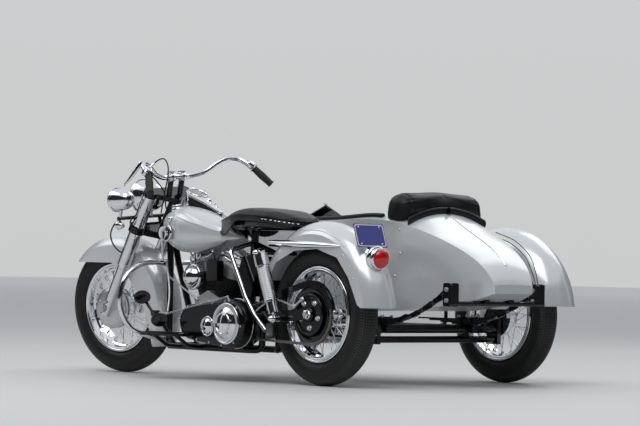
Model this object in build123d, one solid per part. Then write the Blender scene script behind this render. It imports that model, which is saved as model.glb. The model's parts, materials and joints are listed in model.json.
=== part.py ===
"""Sidecar motorcycle: a heavy V-twin with telescopic fork, deep fenders and a boat-shaped sidecar
on the right. Millimetres. While the pieces are made, X points forward from the rear axle, Y points
to the rider's left from the middle of the motorcycle, and Z points up from the ground. Each piece is
moved at the end so that the origin lies on the ground under the middle of the whole outfit."""
import math
import os

from build123d import *

# The outfit
WHEELBASE = 1524.0
RAKE = 30.0                 # steering axis, degrees back from upright
AXLE_AHEAD = 70.0           # front axle and fork legs, ahead of the steering axis
STEER_AT_REST = 9.5         # the fork as parked, degrees to the left
STEER_LIMIT = 36.0          # full lock each way
STEER_FRICTION = 12.0       # N.m, holds the parked fork where it was turned
SIDECAR_TRACK = 1210.0      # sidecar wheel, to the right of the motorcycle
SIDECAR_LEAD = 55.0         # sidecar wheel, ahead of the rear wheel
RUNNING_GAP = 0.3           # between a shaft and what turns on it
SEATED_GAP = 0.3            # between a piece and what carries it
CRUMB = 400.0               # volume of the largest scrap that a cut leaves and that is thrown away

# Wheels, all three alike
TYRE_RADIUS = 328.0
TYRE_HALF_WIDTH = 62.0
RIM_RADIUS = 221.0
RIM_HALF_WIDTH = 49.0
RIM_SEAT_RADIUS = 203.0
RIM_WELL_RADIUS = 188.0
RIM_WALL = 6.0
HUB_RADIUS = 30.0
HUB_FLANGE_RADIUS = 48.0
HUB_HALF_LENGTH = 42.0
SPOKE_RADIUS = 2.1
SPOKE_PAIRS = 10            # pairs of crossed spokes on each side of the hub
SPOKE_LEAN = 52.0           # degrees that a spoke's two ends stand apart round the axle
AXLE_RADIUS = 11.0
DRUM_RADIUS = 108.0
DRUM_DEPTH = 28.0
PLATE_RADIUS = 102.0

# Front fork and steering head
LEG_SPREAD = 118.0          # leg centre from the middle
SLIDER_RADIUS = 27.0
COVER_RADIUS = 33.0
SLIDER_TOP = 250.0          # along the legs, up from the axle
COVER_TOP = 640.0
YOKE_LOW = 440.0
YOKE_THICK = 34.0
HEAD_TOP = 645.0
HEAD_RADIUS = 31.0
STEM_RADIUS = 15.0
HEADLAMP_RADIUS = 86.0
HEADLAMP_PLACE = (WHEELBASE - 199, 878.0)    # x and z of its middle with the fork straight
PASSING_RADIUS = 59.0
PASSING_PLACE = (WHEELBASE - 238, 226.0, 872.0)
LAMP_BAR = (WHEELBASE - 208, 780.0)     # x and z of the bar that carries the lamps
LAMP_BAR_RADIUS = 9.0
RISER_SPREAD = 38.0         # handlebar risers, from the middle

# Handlebar
BAR_RADIUS = 12.7
BAR_BENDS = [(396, 0, 972), (396, 95, 972), (426, 175, 990), (464, 282, 1050), (502, 342, 1044),
             (576, 376, 990), (628, 426, 918)]     # how far behind the front axle, y, z of the left half
BAR_ROUTE = [(WHEELBASE - back, y, z) for back, y, z in BAR_BENDS]
GRIP_RADIUS = 17.0
GRIP_LENGTH = 118.0

# Motorcycle frame
TUBE_RADIUS = 16.0
BACKBONE_RADIUS = 19.0
CRADLE_SPREAD = 90.0        # half the distance between the lower rails
CRADLE_HEIGHT = 150.0
DOWN_TUBE_BEND = (WHEELBASE - 386, 555.0)     # where the down tubes part
CRADLE_FRONT = WHEELBASE - 472
UPRIGHT_SPREAD = 50.0       # half the distance between the uprights behind the gearbox
SEAT_TUBE_FOOT = (545.0, 165.0)
SEAT_TUBE_TOP = (520.0, 680.0)
PIVOT = (392.0, 300.0)      # swing arm pivot
PIVOT_RADIUS = 22.0
ARM_INNER = 96.0            # swing arm's inner face from the middle
ARM_THICK = 15.0
SHOCK_SPREAD = 152.0
SHOCK_FOOT = (179.0, 303.0)
SHOCK_TOP = (300.0, 606.0)
SHOCK_RADIUS = 30.0
STUD_RADIUS = 10.0

# Engine and gearbox
CRANK = (765.0, 272.0)
CLUTCH = (483.0, 272.0)
CASE_RADIUS = CRANK[1] - CRADLE_HEIGHT - TUBE_RADIUS - SEATED_GAP
CYLINDER_LEAN = 22.5
BORE_RADIUS = 49.0
FIN_RADIUS = 73.0
FIN_THICK = 3.2
FIN_PITCH = 10.5
DECK_HEIGHT = 140.0         # cylinder foot from the crankshaft
BARREL_LENGTH = 105.0
HEAD_LENGTH = 72.0
PAN_HEIGHT = 46.0
PRIMARY_INNER = 112.0
PRIMARY_OUTER = 196.0

# Rear drive
SPROCKET_RADIUS = 129.0
SPROCKET_THICK = 6.0
SPROCKET_TEETH = 51
SPROCKET_Y = 85.0
GEARBOX_SPROCKET_RADIUS = 57.0
CHAIN_GAP = 2.0
CHAIN_HEIGHT = 13.0
CHAIN_WIDTH = 13.0

# Fenders: radius of the crown round the axle, half width, sheet thickness
FENDER_SHEET = 3.0
FENDER_DEPTH = 200.0        # from the crown in towards the axle
FRONT_FENDER = (364.0, 83.0)
REAR_FENDER = (428.0, 97.0)
SIDECAR_FENDER = (428.0, 106.0)

# Number plate
PLATE_SIZE = (178.0, 112.0)
PLATE_THICK = 3.0

# Tanks and seat
TANK_INNER = BACKBONE_RADIUS + SEATED_GAP
TUNNEL_HALF_WIDTH = 76.0
TUNNEL_TOP = 662.0

# Sidecar
BODY_MIDDLE = -655.0
BODY_WALL = 10.0
# x, half width at the floor and at the belt, height of the floor, the belt and the ridge
BODY_SECTIONS = [(1330, 46, 58, 470, 540, 560), (1290, 110, 130, 430, 590, 622), (1120, 182, 208, 376, 690, 718),
                 (760, 236, 262, 350, 762, 777), (350, 252, 274, 345, 772, 806), (-30, 250, 264, 350, 764, 838),
                 (-240, 208, 216, 372, 704, 736), (-400, 166, 172, 394, 632, 654), (-510, 136, 140, 424, 552, 562),
                 (-560, 120, 122, 440, 478, 482)]
RAIL_SPREAD = 278.0         # each rail from the body's middle
RAIL_HEIGHT = 262.0
RAIL_RADIUS = 19.0
AXLE_TUBE_X = 30.0
LOWER_TUBE_HEIGHT = 212.0
SPRING_EYE = (-425.0, 462.0)
COCKPIT_FRONT = 760.0
COCKPIT_REAR = 70.0
COCKPIT_HALF_WIDTH = 248.0
COWL_REAR = (775.0, 186.0, 762.0, 853.0)    # x, half width, foot and peak of the hood ahead of the cockpit
COWL_FRONT = (1080.0, 60.0, 690.0, 734.0)
COWL_SHEET = 4.0

# The middle of the outfit's plan, which becomes the origin
PLAN_MIDDLE = (WHEELBASE / 2 - 117.8, -453.7)

RAKE_SIN = math.sin(math.radians(RAKE))
RAKE_COS = math.cos(math.radians(RAKE))
STEER_FOOT = (WHEELBASE - AXLE_AHEAD * RAKE_COS, TYRE_RADIUS - AXLE_AHEAD * RAKE_SIN)
STEER_AXIS = Axis((STEER_FOOT[0], 0, STEER_FOOT[1]), (-RAKE_SIN, 0, RAKE_COS))


def steer_point(ahead, side, up):
    """The point that lies so far ahead of the steering axis, to the left, and up along it."""
    return Vector(STEER_FOOT[0] + ahead * RAKE_COS - up * RAKE_SIN, side,
                  STEER_FOOT[1] + ahead * RAKE_SIN + up * RAKE_COS)


def rod(start, end, radius):
    """A round bar from one point to another."""
    start, end = Vector(*start), Vector(*end)
    way = end - start
    return Plane(origin=start, z_dir=way) * Cylinder(
        radius, way.length, align=(Align.CENTER, Align.CENTER, Align.MIN))


def tube(points, radius, bend):
    """A round bar that follows straight runs joined by arcs of one radius."""
    path = FilletPolyline(*[Vector(*p) for p in points], radius=bend)
    return sweep(Plane(origin=path @ 0, z_dir=path % 0) * Circle(radius), path=path)


def disc(x, y, z, radius, thick):
    """A round plate or drum with its axis along Y, from y towards the left."""
    return Pos(x, y, z) * Rot(-90, 0, 0) * Cylinder(radius, thick, align=(Align.CENTER, Align.CENTER, Align.MIN))


def block(x0, x1, y0, y1, z0, z1):
    """A box between two corners."""
    return Pos((x0 + x1) / 2, (y0 + y1) / 2, (z0 + z1) / 2) * Box(x1 - x0, y1 - y0, z1 - z0)


def side_plate(outline, y0, y1):
    """A closed outline in X and Z, given a thickness from y0 to y1."""
    face = Plane.XZ * make_face(outline)
    return Pos(0, y1, 0) * extrude(face, amount=y1 - y0)


def mirrored(shape):
    """The same piece on the motorcycle's right side."""
    return mirror(shape, about=Plane.XZ)


def group(*shapes):
    """Separate solids kept together as one piece."""
    return Compound(children=[solid for shape in shapes for solid in shape.solids()])


def pair(shape):
    """The piece and its mirror image, as two separate solids."""
    return group(shape, mirrored(shape))


def without(shape, *others):
    """The shape with what the others fill cut away, so that it fits against them, and no crumbs left."""
    tools = [solid for other in others for solid in other.solids()]
    left = []
    for solid in shape.solids():
        rest = solid.cut(*tools)
        pieces = rest if isinstance(rest, list) else rest.solids()
        left += [piece for piece in pieces if abs(piece.volume) > CRUMB]
    return group(*left) if len(left) > 1 else left[0]


def belt_outline(front, front_radius, rear, rear_radius):
    """The outline of a belt round two circles, in X and Z."""
    (x0, z0), (x1, z1) = front, rear
    hull = make_hull([*(Pos(x0, z0) * Circle(front_radius)).edges(), *(Pos(x1, z1) * Circle(rear_radius)).edges()])
    return hull.edges()


def tyre():
    """A tyre with its middle at the origin and its axle along Y."""
    w, r = TYRE_HALF_WIDTH, TYRE_RADIUS
    bead = RIM_HALF_WIDTH - RIM_WALL - 0.5
    seat = RIM_SEAT_RADIUS + 0.5
    widest = (r + RIM_RADIUS) / 2 - 6
    shoulder = r - 26
    side = ThreePointArc((RIM_RADIUS + 2, bead), (widest, w), (shoulder, w - 9))
    crown = ThreePointArc((shoulder, w - 9), (r, 0), (shoulder, -(w - 9)))
    other = ThreePointArc((shoulder, -(w - 9)), (widest, -w), (RIM_RADIUS + 2, -bead))
    foot = Polyline((RIM_RADIUS + 2, -bead), (seat, -bead), (seat, bead), (RIM_RADIUS + 2, bead))
    face = Plane.XY * make_face([side, crown, other, foot])
    return revolve(face, axis=Axis.Y)


def rim():
    """A drop-centre rim."""
    w, t = RIM_HALF_WIDTH, RIM_WALL
    outer = [(RIM_RADIUS, -w), (RIM_RADIUS, -w + t), (RIM_SEAT_RADIUS, -w + t), (RIM_SEAT_RADIUS - 2, -18),
             (RIM_WELL_RADIUS + 5, -12), (RIM_WELL_RADIUS + 5, 12), (RIM_SEAT_RADIUS - 2, 18),
             (RIM_SEAT_RADIUS, w - t), (RIM_RADIUS, w - t), (RIM_RADIUS, w), (RIM_SEAT_RADIUS - 4, w),
             (RIM_SEAT_RADIUS - 7, 22), (RIM_WELL_RADIUS, 15), (RIM_WELL_RADIUS, -15), (RIM_SEAT_RADIUS - 7, -22),
             (RIM_SEAT_RADIUS - 4, -w)]
    return revolve(Plane.XY * make_face(Polyline(*outer, close=True)), axis=Axis.Y)


def hub(left, right):
    """A hub shell with two flanges, from the left end to the right end."""
    shell = disc(0, -right, 0, HUB_RADIUS, left + right)
    for y in (-HUB_HALF_LENGTH, HUB_HALF_LENGTH - 5):
        shell += disc(0, y, 0, HUB_FLANGE_RADIUS, 5)
    return shell


def spokes():
    """Crossed wire spokes from both hub flanges to the rim's well."""
    bars = []
    step = 360 / (2 * SPOKE_PAIRS)
    for side in (1, -1):
        for i in range(2 * SPOKE_PAIRS):
            turn = i * step + (step / 2 if side < 0 else 0)
            lean = SPOKE_LEAN if i % 2 else -SPOKE_LEAN
            a, b = math.radians(turn + lean), math.radians(turn)
            flange = HUB_FLANGE_RADIUS - 5
            reach = RIM_WELL_RADIUS + 2
            bars.append(rod((flange * math.cos(a), side * (HUB_HALF_LENGTH - 2.5), flange * math.sin(a)),
                            (reach * math.cos(b), side * 9, reach * math.sin(b)), SPOKE_RADIUS))
    return bars


def wire_wheel(left, right, drum_side):
    """Rim, spokes and hub as one piece, with a brake drum on one side of the hub."""
    drum_y = HUB_HALF_LENGTH + 1
    drum = disc(0, drum_y, 0, DRUM_RADIUS, DRUM_DEPTH)
    wheel = rim().fuse(hub(left, right), *spokes())
    wheel = wheel.fuse(drum if drum_side > 0 else mirrored(drum))
    return wheel - disc(0, -right - 5, 0, AXLE_RADIUS + RUNNING_GAP, left + right + 10)


def fender_form(crown, half_width):
    """A fender's solid form: straight flanks under an arched crown, turned round the axle."""
    shoulder = crown - half_width * 0.62
    inner = crown - FENDER_DEPTH
    arch = ThreePointArc((shoulder, half_width), (crown, 0), (shoulder, -half_width))
    flanks = Polyline((shoulder, -half_width), (inner, -half_width), (inner, half_width), (shoulder, half_width))
    return revolve(Plane.XY * make_face([arch, flanks]), axis=Axis.Y)


def fender_shell(crown, half_width, sheet, keep):
    """A fender's sheet, trimmed to a side outline."""
    shell = fender_form(crown, half_width) - fender_form(crown - sheet, half_width - sheet)
    shell -= Rot(90, 0, 0) * Cylinder(crown - FENDER_DEPTH + 2, 4 * half_width)
    trim = Pos(0, 2 * half_width, 0) * extrude(Plane.XZ * make_face(keep), amount=4 * half_width)
    return shell & trim


def front_fender():
    """Deep front fender with a straight lower edge ahead of the fork."""
    crown, half_width = FRONT_FENDER
    keep = Polyline((0, 225), (330, 228), (600, 228), (600, 600), (-600, 600), (-600, -188), (-262, -188),
                    (-240, -60), (-190, 60), (-120, 150), close=True)
    shape = fender_shell(crown, half_width, FENDER_SHEET, keep)
    return Pos(WHEELBASE, 0, TYRE_RADIUS) * shape


def rear_fender():
    """Rear fender fixed to the frame, cut away over the wheel's side and down to the tail."""
    crown, half_width = REAR_FENDER
    keep = Polyline((600, 150), (300, 150), (250, 235), (120, 290), (-40, 300), (-180, 262), (-262, 170),
                    (-325, 50), (-348, 38), (-600, 38), (-600, 600), (600, 600), close=True)
    shape = fender_shell(crown, half_width, FENDER_SHEET, keep)
    return Pos(0, 0, TYRE_RADIUS) * shape


def sidecar_fender():
    """Sidecar fender, like the rear one and a little wider."""
    crown, half_width = SIDECAR_FENDER
    keep = Polyline((600, 40), (345, 40), (325, 60), (262, 180), (180, 262), (40, 300), (-120, 290), (-240, 235),
                    (-320, 120), (-350, 52), (-600, 52), (-600, 600), (600, 600), close=True)
    shape = fender_shell(crown, half_width, FENDER_SHEET, keep)
    return Pos(SIDECAR_LEAD, -SIDECAR_TRACK, TYRE_RADIUS) * shape


def rounded_section(x, y0, y1, z0, z1, radius):
    """A rounded rectangle across X."""
    plane = Plane(origin=(x, (y0 + y1) / 2, (z0 + z1) / 2), x_dir=(0, 1, 0), z_dir=(1, 0, 0))
    return plane * RectangleRounded(y1 - y0, z1 - z0, radius)


def loft_along(rows):
    """A loft through rounded rectangles, each row being x, y0, y1, z0, z1 and corner radius."""
    return loft([rounded_section(*row) for row in rows])


def tank_half():
    """Left fuel tank: a teardrop, with its lower inner side cut away over the engine."""
    # x, inner y, outer y, bottom, top, corner radius
    rows = [(1092, TANK_INNER, 74, 700, 752, 20), (1066, TANK_INNER, 112, 664, 792, 34),
            (985, TANK_INNER, 148, 622, 826, 46), (860, TANK_INNER, 152, 612, 812, 46),
            (720, TANK_INNER, 118, 628, 758, 36), (600, TANK_INNER, 66, 656, 704, 18)]
    shape = loft_along(rows)
    return shape - block(560, 1120, 0, TUNNEL_HALF_WIDTH, 560, TUNNEL_TOP)


def dash():
    """Instrument housing on top of the tanks, a teardrop in plan with a sloping face."""
    front, r, tail = 965.0, 62.0, 792.0
    outline = make_hull([*(Pos(front, 0) * Circle(r)).edges(), *(Pos(tail, 0) * Circle(14)).edges()])
    solid = Pos(0, 0, 770) * extrude(outline, amount=200)
    slope = Plane(origin=(front, 0, 892), z_dir=(-0.42, 0, 1))
    solid = split(solid, bisect_by=slope, keep=Keep.BOTTOM)
    low = Plane(origin=(front, 0, 796), z_dir=(-0.30, 0, 1))
    solid = split(solid, bisect_by=low, keep=Keep.TOP)
    return solid


def saddle():
    """Long sprung saddle with a narrow nose."""
    rows = [(712, -42, 42, 734, 760, 11), (650, -74, 74, 706, 788, 26), (560, -112, 112, 698, 808, 36),
            (450, -150, 150, 694, 816, 40), (300, -164, 164, 692, 806, 40), (190, -158, 158, 694, 786, 34),
            (132, -132, 132, 706, 764, 20)]
    crown, half_width = REAR_FENDER
    seat = loft_along(rows)
    cut = disc(0, -half_width - 3, TYRE_RADIUS, crown + SEATED_GAP, 2 * half_width + 6)
    return seat - cut


def frame_tubes():
    """The motorcycle frame: backbone, two down tubes that become the lower rails, seat tube and stays."""
    head = rod(steer_point(0, 0, YOKE_LOW + YOKE_THICK + 2), steer_point(0, 0, HEAD_TOP - 2), HEAD_RADIUS)
    high = steer_point(-12, 0, 600)
    low = steer_point(-14, 0, 545)
    x_top, z_top = SEAT_TUBE_TOP
    x_foot, z_foot = SEAT_TUBE_FOOT
    pieces = [tube([tuple(high), (860, 0, 742), (x_top, 0, z_top)], BACKBONE_RADIUS, 180),
              rod((x_foot, 0, z_foot), (x_top, 0, z_top + 26), BACKBONE_RADIUS)]
    for s in (1, -1):
        side = s * CRADLE_SPREAD
        upright = s * UPRIGHT_SPREAD
        rail = [(low.X, s * 8, low.Z), (DOWN_TUBE_BEND[0], s * 24, DOWN_TUBE_BEND[1]), (CRADLE_FRONT, side, CRADLE_HEIGHT), (450, side, CRADLE_HEIGHT),
                (PIVOT[0], upright, CRADLE_HEIGHT), (PIVOT[0], upright, PIVOT[1])]
        pieces.append(tube(rail, TUBE_RADIUS, 32))
        stay = [(PIVOT[0], upright, PIVOT[1] - 2), (PIVOT[0] + 4, upright, 440), (400, side, 580),
                (SHOCK_TOP[0] + 4, s * 122, SHOCK_TOP[1] + 14)]
        pieces.append(tube(stay, TUBE_RADIUS, 60))
        pieces.append(rod((x_top, 0, z_top - 30), (400, side, 585), TUBE_RADIUS * 0.8))
    pieces.append(rod((600, -CRADLE_SPREAD, CRADLE_HEIGHT), (600, CRADLE_SPREAD, CRADLE_HEIGHT), TUBE_RADIUS))
    pieces.append(rod((x_foot, 0, z_foot), (600, 0, CRADLE_HEIGHT), BACKBONE_RADIUS))
    pieces.append(rod((CRADLE_FRONT, -CRADLE_SPREAD, CRADLE_HEIGHT), (CRADLE_FRONT, CRADLE_SPREAD, CRADLE_HEIGHT), TUBE_RADIUS))
    pieces.append(disc(PIVOT[0], -ARM_INNER + 1, PIVOT[1], PIVOT_RADIUS, 2 * ARM_INNER - 2))
    reach = SHOCK_SPREAD + 24
    pieces.append(disc(SHOCK_TOP[0], -reach, SHOCK_TOP[1], STUD_RADIUS, 2 * reach))
    whole = head.fuse(*pieces)
    return whole - rod(steer_point(0, 0, YOKE_LOW), steer_point(0, 0, HEAD_TOP + 40), STEM_RADIUS + RUNNING_GAP)


def swing_arm():
    """Two arms with a cross tube, lugs for the shock absorbers, the rear axle and its brake plate."""
    reach = ARM_INNER + ARM_THICK + 14
    arms = None
    for s in (1, -1):
        y0, y1 = sorted((s * ARM_INNER, s * (ARM_INNER + ARM_THICK)))
        outline = belt_outline(PIVOT, 30, (0, TYRE_RADIUS), 24)
        arm = side_plate(outline, y0, y1)
        lug0, lug1 = sorted((s * (ARM_INNER + ARM_THICK - 2), s * (SHOCK_SPREAD + 22)))
        arm += disc(SHOCK_FOOT[0], lug0, SHOCK_FOOT[1], STUD_RADIUS, lug1 - lug0)
        arms = arm if arms is None else arms + arm
    arms += block(342, 362, -ARM_INNER - 2, ARM_INNER + 2, PIVOT[1] - 8, PIVOT[1] + 14)
    arms += disc(0, SPROCKET_Y + 9, TYRE_RADIUS, PLATE_RADIUS - 4, ARM_INNER - SPROCKET_Y - 8)
    return arms + disc(0, -reach, TYRE_RADIUS, AXLE_RADIUS, 2 * reach)


def shock(s):
    """A covered shock absorber with an eye at each end."""
    foot = Vector(SHOCK_FOOT[0], s * SHOCK_SPREAD, SHOCK_FOOT[1])
    top = Vector(SHOCK_TOP[0], s * SHOCK_SPREAD, SHOCK_TOP[1])
    way = (top - foot).normalized()
    length = (top - foot).length
    body = rod(tuple(foot + way * 26), tuple(foot + way * 84), SHOCK_RADIUS - 5)
    body += rod(tuple(foot + way * 82), tuple(foot + way * (length - 66)), SHOCK_RADIUS)
    body += rod(tuple(foot + way * (length - 68)), tuple(foot + way * (length - 10)), SHOCK_RADIUS + 4)
    body += rod(tuple(foot), tuple(foot + way * 30), 9)
    body += rod(tuple(foot + way * (length - 14)), tuple(top), 10)
    for end in (foot, top):
        body += disc(end.X, end.Y - 15, end.Z, 18, 30)
    bore = STUD_RADIUS + RUNNING_GAP
    body -= disc(foot.X, foot.Y - 40, foot.Z, bore, 80)
    return body - disc(top.X, top.Y - 40, top.Z, bore, 80)


def engine_cases():
    """Crankcase with its timing chest on the right."""
    x, z = CRANK
    case = disc(x, -66, z, CASE_RADIUS, PRIMARY_INNER - 0.3 + 66)
    for s in (1, -1):
        case += Pos(x, 19, z) * Rot(0, s * CYLINDER_LEAN, 0) * Pos(0, 0, DECK_HEIGHT / 2) * Box(112, 130, DECK_HEIGHT - 0.4)
    case += side_plate(belt_outline((x + 62, z + 38), 46, (x - 30, z - 6), 70), -112, -50)
    return case


def cylinder(s):
    """One finned cylinder barrel; s is 1 for the front one."""
    x, z = CRANK
    foot = DECK_HEIGHT
    barrel = Pos(0, 0, foot) * Cylinder(BORE_RADIUS, BARREL_LENGTH, align=(Align.CENTER, Align.CENTER, Align.MIN))
    fins = []
    count = int(BARREL_LENGTH // FIN_PITCH)
    for i in range(1, count):
        fins.append(Pos(0, 0, foot + i * FIN_PITCH) * Cylinder(FIN_RADIUS, FIN_THICK))
    whole = barrel.fuse(*fins)
    whole = Pos(x, 0, z) * Rot(0, s * CYLINDER_LEAN, 0) * whole
    keep = block(x + 3, x + 400, -200, 200, z, z + 500) if s > 0 else block(x - 400, x - 3, -200, 200, z, z + 500)
    return whole & keep


def cylinder_head(s):
    """One cylinder head with its fins."""
    x, z = CRANK
    foot = DECK_HEIGHT + BARREL_LENGTH
    core = Pos(0, 0, foot + HEAD_LENGTH / 2) * Box(112, 108, HEAD_LENGTH)
    fins = []
    for i in range(int(HEAD_LENGTH // FIN_PITCH)):
        fins.append(Pos(0, 0, foot + FIN_THICK / 2 + i * FIN_PITCH) * Cylinder(FIN_RADIUS + 3, FIN_THICK))
    whole = core.fuse(*fins)
    return Pos(x, 0, z) * Rot(0, s * CYLINDER_LEAN, 0) * whole


def rocker_cover(s):
    """The pan-shaped cover over one head's rockers."""
    x, z = CRANK
    foot = DECK_HEIGHT + BARREL_LENGTH + HEAD_LENGTH
    pan = Pos(0, 0, foot) * extrude(RectangleRounded(150, 118, 40), amount=PAN_HEIGHT)
    pan = fillet(pan.faces().sort_by(Axis.Z)[-1].edges(), 16)
    pan += Pos(0, 0, foot) * extrude(RectangleRounded(164, 130, 44), amount=7)
    return Pos(x, 0, z) * Rot(0, s * CYLINDER_LEAN, 0) * pan


def primary_cover():
    """Sheet primary chain cover over crankshaft sprocket and clutch."""
    outline = belt_outline(CRANK, 84, CLUTCH, 116)
    cover = side_plate(outline, PRIMARY_INNER, PRIMARY_OUTER)
    rim_edges = cover.faces().sort_by(Axis.Y)[-1].edges()
    return fillet(rim_edges, 22)


def clutch_covers():
    """Domed chrome covers over the clutch and the chain adjuster."""
    covers = []
    for x, z, radius, rise in [(CLUTCH[0], CLUTCH[1], 88, 26), (CLUTCH[0] + 138, CLUTCH[1] - 16, 40, 12)]:
        plate = disc(x, PRIMARY_OUTER, z, radius, 6)
        dome_radius = (radius * 0.86 * radius * 0.86 + rise * rise) / (2 * rise)
        ball = Pos(x, PRIMARY_OUTER + 6 + rise - dome_radius, z) * Sphere(dome_radius)
        cap = ball & disc(x, PRIMARY_OUTER + 3, z, radius * 0.86, rise + 10)
        covers.append(plate + cap)
    return group(*covers)


def gearbox():
    """Gearbox case, its output sprocket and the kick starter cover."""
    x, z = CLUTCH
    case = block(x - 78, x + 30, -88, 74, z - 70, z + 88)
    case = fillet(case.edges().filter_by(Axis.Y), 24)
    case += disc(x, 72, z, 22, 39)
    case += disc(x, SPROCKET_Y - SPROCKET_THICK / 2, z, GEARBOX_SPROCKET_RADIUS, SPROCKET_THICK)
    case += side_plate(belt_outline((x + 24, z), 58, (x + 8, z + 8), 52), -112, -86)
    return case


def chain():
    """The rear chain as one closed loop round both sprockets."""
    inner = belt_outline(CLUTCH, GEARBOX_SPROCKET_RADIUS + CHAIN_GAP, (0, TYRE_RADIUS), SPROCKET_RADIUS + CHAIN_GAP)
    grow = CHAIN_GAP + CHAIN_HEIGHT
    outer = belt_outline(CLUTCH, GEARBOX_SPROCKET_RADIUS + grow, (0, TYRE_RADIUS), SPROCKET_RADIUS + grow)
    y0, y1 = SPROCKET_Y - CHAIN_WIDTH / 2, SPROCKET_Y + CHAIN_WIDTH / 2
    return side_plate(outer, y0, y1) - side_plate(inner, y0 - 1, y1 + 1)


def sprocket():
    """The rear wheel's toothed ring."""
    ring = disc(0, SPROCKET_Y - SPROCKET_THICK / 2, 0, SPROCKET_RADIUS, SPROCKET_THICK)
    gaps = []
    pitch_radius = SPROCKET_RADIUS + 1.0
    for i in range(SPROCKET_TEETH):
        a = 2 * math.pi * i / SPROCKET_TEETH
        gaps.append(disc(pitch_radius * math.cos(a), SPROCKET_Y - 6, pitch_radius * math.sin(a), 4.6, 12))
    return ring.cut(*gaps)


def lamp(x, y, z, radius, depth):
    """A bowl-shaped lamp shell with its rim, pointing forward."""
    back = x - depth
    line = [Spline((back, 0), (x - depth * 0.42, radius * 0.86), (x, radius * 0.97), tangents=((0, 1), (1, 0.1)))]
    rest = Polyline((x, radius * 0.97), (x, radius), (x + 14, radius), (x + 14, 0), (back, 0))
    face = make_face([*line, rest])
    return Pos(0, y, z) * revolve(Plane.XY * face, axis=Axis.X)


def oil_tank():
    """Oil tank under the saddle, on the left and rear of the seat tube."""
    tank = block(352, 500, -96, 100, 400, 590)
    return fillet(tank.edges().filter_by(Axis.Y), 26)


def side_brace():
    """Bright tube on the left, from under the saddle to behind the primary cover."""
    y = PRIMARY_INNER + 26
    x, z = PIVOT
    brace = tube([(530, 10, 650), (540, y, 614), (416, y, 402), (346, y, 316), (262, y, 246)], 11.5, 34)
    return brace + disc(x - 42, ARM_INNER + ARM_THICK + SEATED_GAP, z + 18, 8, 28)


def exhaust():
    """Exhaust pipes of both cylinders down the right side to one silencer."""
    x, z = CRANK
    pipe = tube([(x + 156, -40, z + 232), (x + 206, -84, z + 214), (x + 232, -150, z + 60), (x + 150, -150, 226),
                 (430, -150, 226)], 22, 42)
    rear = tube([(x - 156, -40, z + 232), (x - 178, -116, z + 196), (x - 150, -150, z + 60), (x - 190, -150, 226)], 20, 30)
    silencer = rod((400, -172, 222), (-70, -196, 250), 45)
    silencer += rod((430, -150, 226), (398, -172, 222), 30)
    tip = rod((-60, -196, 250), (-139, -199, 259), 24)
    return pipe.fuse(rear, silencer, tip)


def footboard():
    """Left footboard with its two hangers."""
    board = block(692, 1006, 218, 326, 204, 216)
    board = fillet(board.edges().filter_by(Axis.Z), 40)
    for x in (775, 945):
        board += tube([(x, CRADLE_SPREAD, CRADLE_HEIGHT), (x, 190, CRADLE_HEIGHT + 8), (x, 262, 205)], 9, 24)
    return board


def crash_bar():
    """Front guard hoop, from the down tubes out to both sides."""
    bends = [(11, 44, 530), (22, 150, 520), (28, 300, 430), (28, 312, 300), (-18, 240, 190), (-60, 97, 170)]
    half = tube([(DOWN_TUBE_BEND[0] + x, y, z) for x, y, z in bends], 13, 55)
    return group(half, mirrored(half))


def shift_lever():
    """Hand shift lever beside the left tank, with its gate disc and knob."""
    lever = rod((1018, 166, 560), (1018, 176, 708), 5)
    lever += disc(1021, 160, 695, 30, 9)
    lever += rod((1019, 172, 700), (942, 186, 752), 5)
    lever += rod((DOWN_TUBE_BEND[0] - 5, 24, 556), (1018, 168, 560), 8)
    return lever + Pos(936, 187, 760) * Sphere(15)


def rocker_pedal():
    """Rocking clutch pedal in front of the left footboard."""
    pedal = tube([(1074, 250, 386), (1040, 236, 350), (960, 232, 268), (912, 250, 258)], 7, 20)
    pedal += disc(1000, 200, 306, 16, 34)
    pedal += block(1052, 1094, 226, 284, 384, 394) + block(890, 934, 226, 284, 260, 270)
    return pedal + rod((1000, CRADLE_SPREAD, CRADLE_HEIGHT), (1000, 206, 304), 9)


def horn():
    """Round horn with a domed cover, on the left between the cylinders."""
    x, z = 858, 485
    seat = FIN_RADIUS + 3 + SEATED_GAP
    dome = Pos(x, 92, z) * Sphere(58) & disc(x, 104, z, 70, 60)
    return dome + disc(x, 88, z, 64, 18) + disc(x, seat, z, 14, 89 - seat)


def coil_box():
    """Ignition coil in a rectangular box on the left of the rear cylinder."""
    box = block(640, 720, 92, 132, 470, 566)
    return fillet(box.edges().filter_by(Axis.Y), 10) + block(664, 696, FIN_RADIUS + 3 + SEATED_GAP, 93, 500, 530)


def carburettor():
    """Carburettor and round air cleaner, on the right between the cylinders."""
    x, z = CRANK
    body = disc(x, -92, z + 250, 26, 84)
    cleaner = disc(x, -150, z + 250, 80, 58)
    cleaner = fillet(cleaner.faces().sort_by(Axis.Y)[0].edges(), 14)
    return cleaner + body


def kick_starter():
    """Kick starter crank with its pedal, upright on the right."""
    x, z = CLUTCH
    crank = disc(x - 14, -136, z + 10, 17, 24)
    crank += tube([(x - 14, -126, z + 10), (x - 30, -136, z + 150), (x - 44, -142, z + 214)], 8, 40)
    return crank + disc(x - 44, -226, z + 216, 13, 92)


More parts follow.
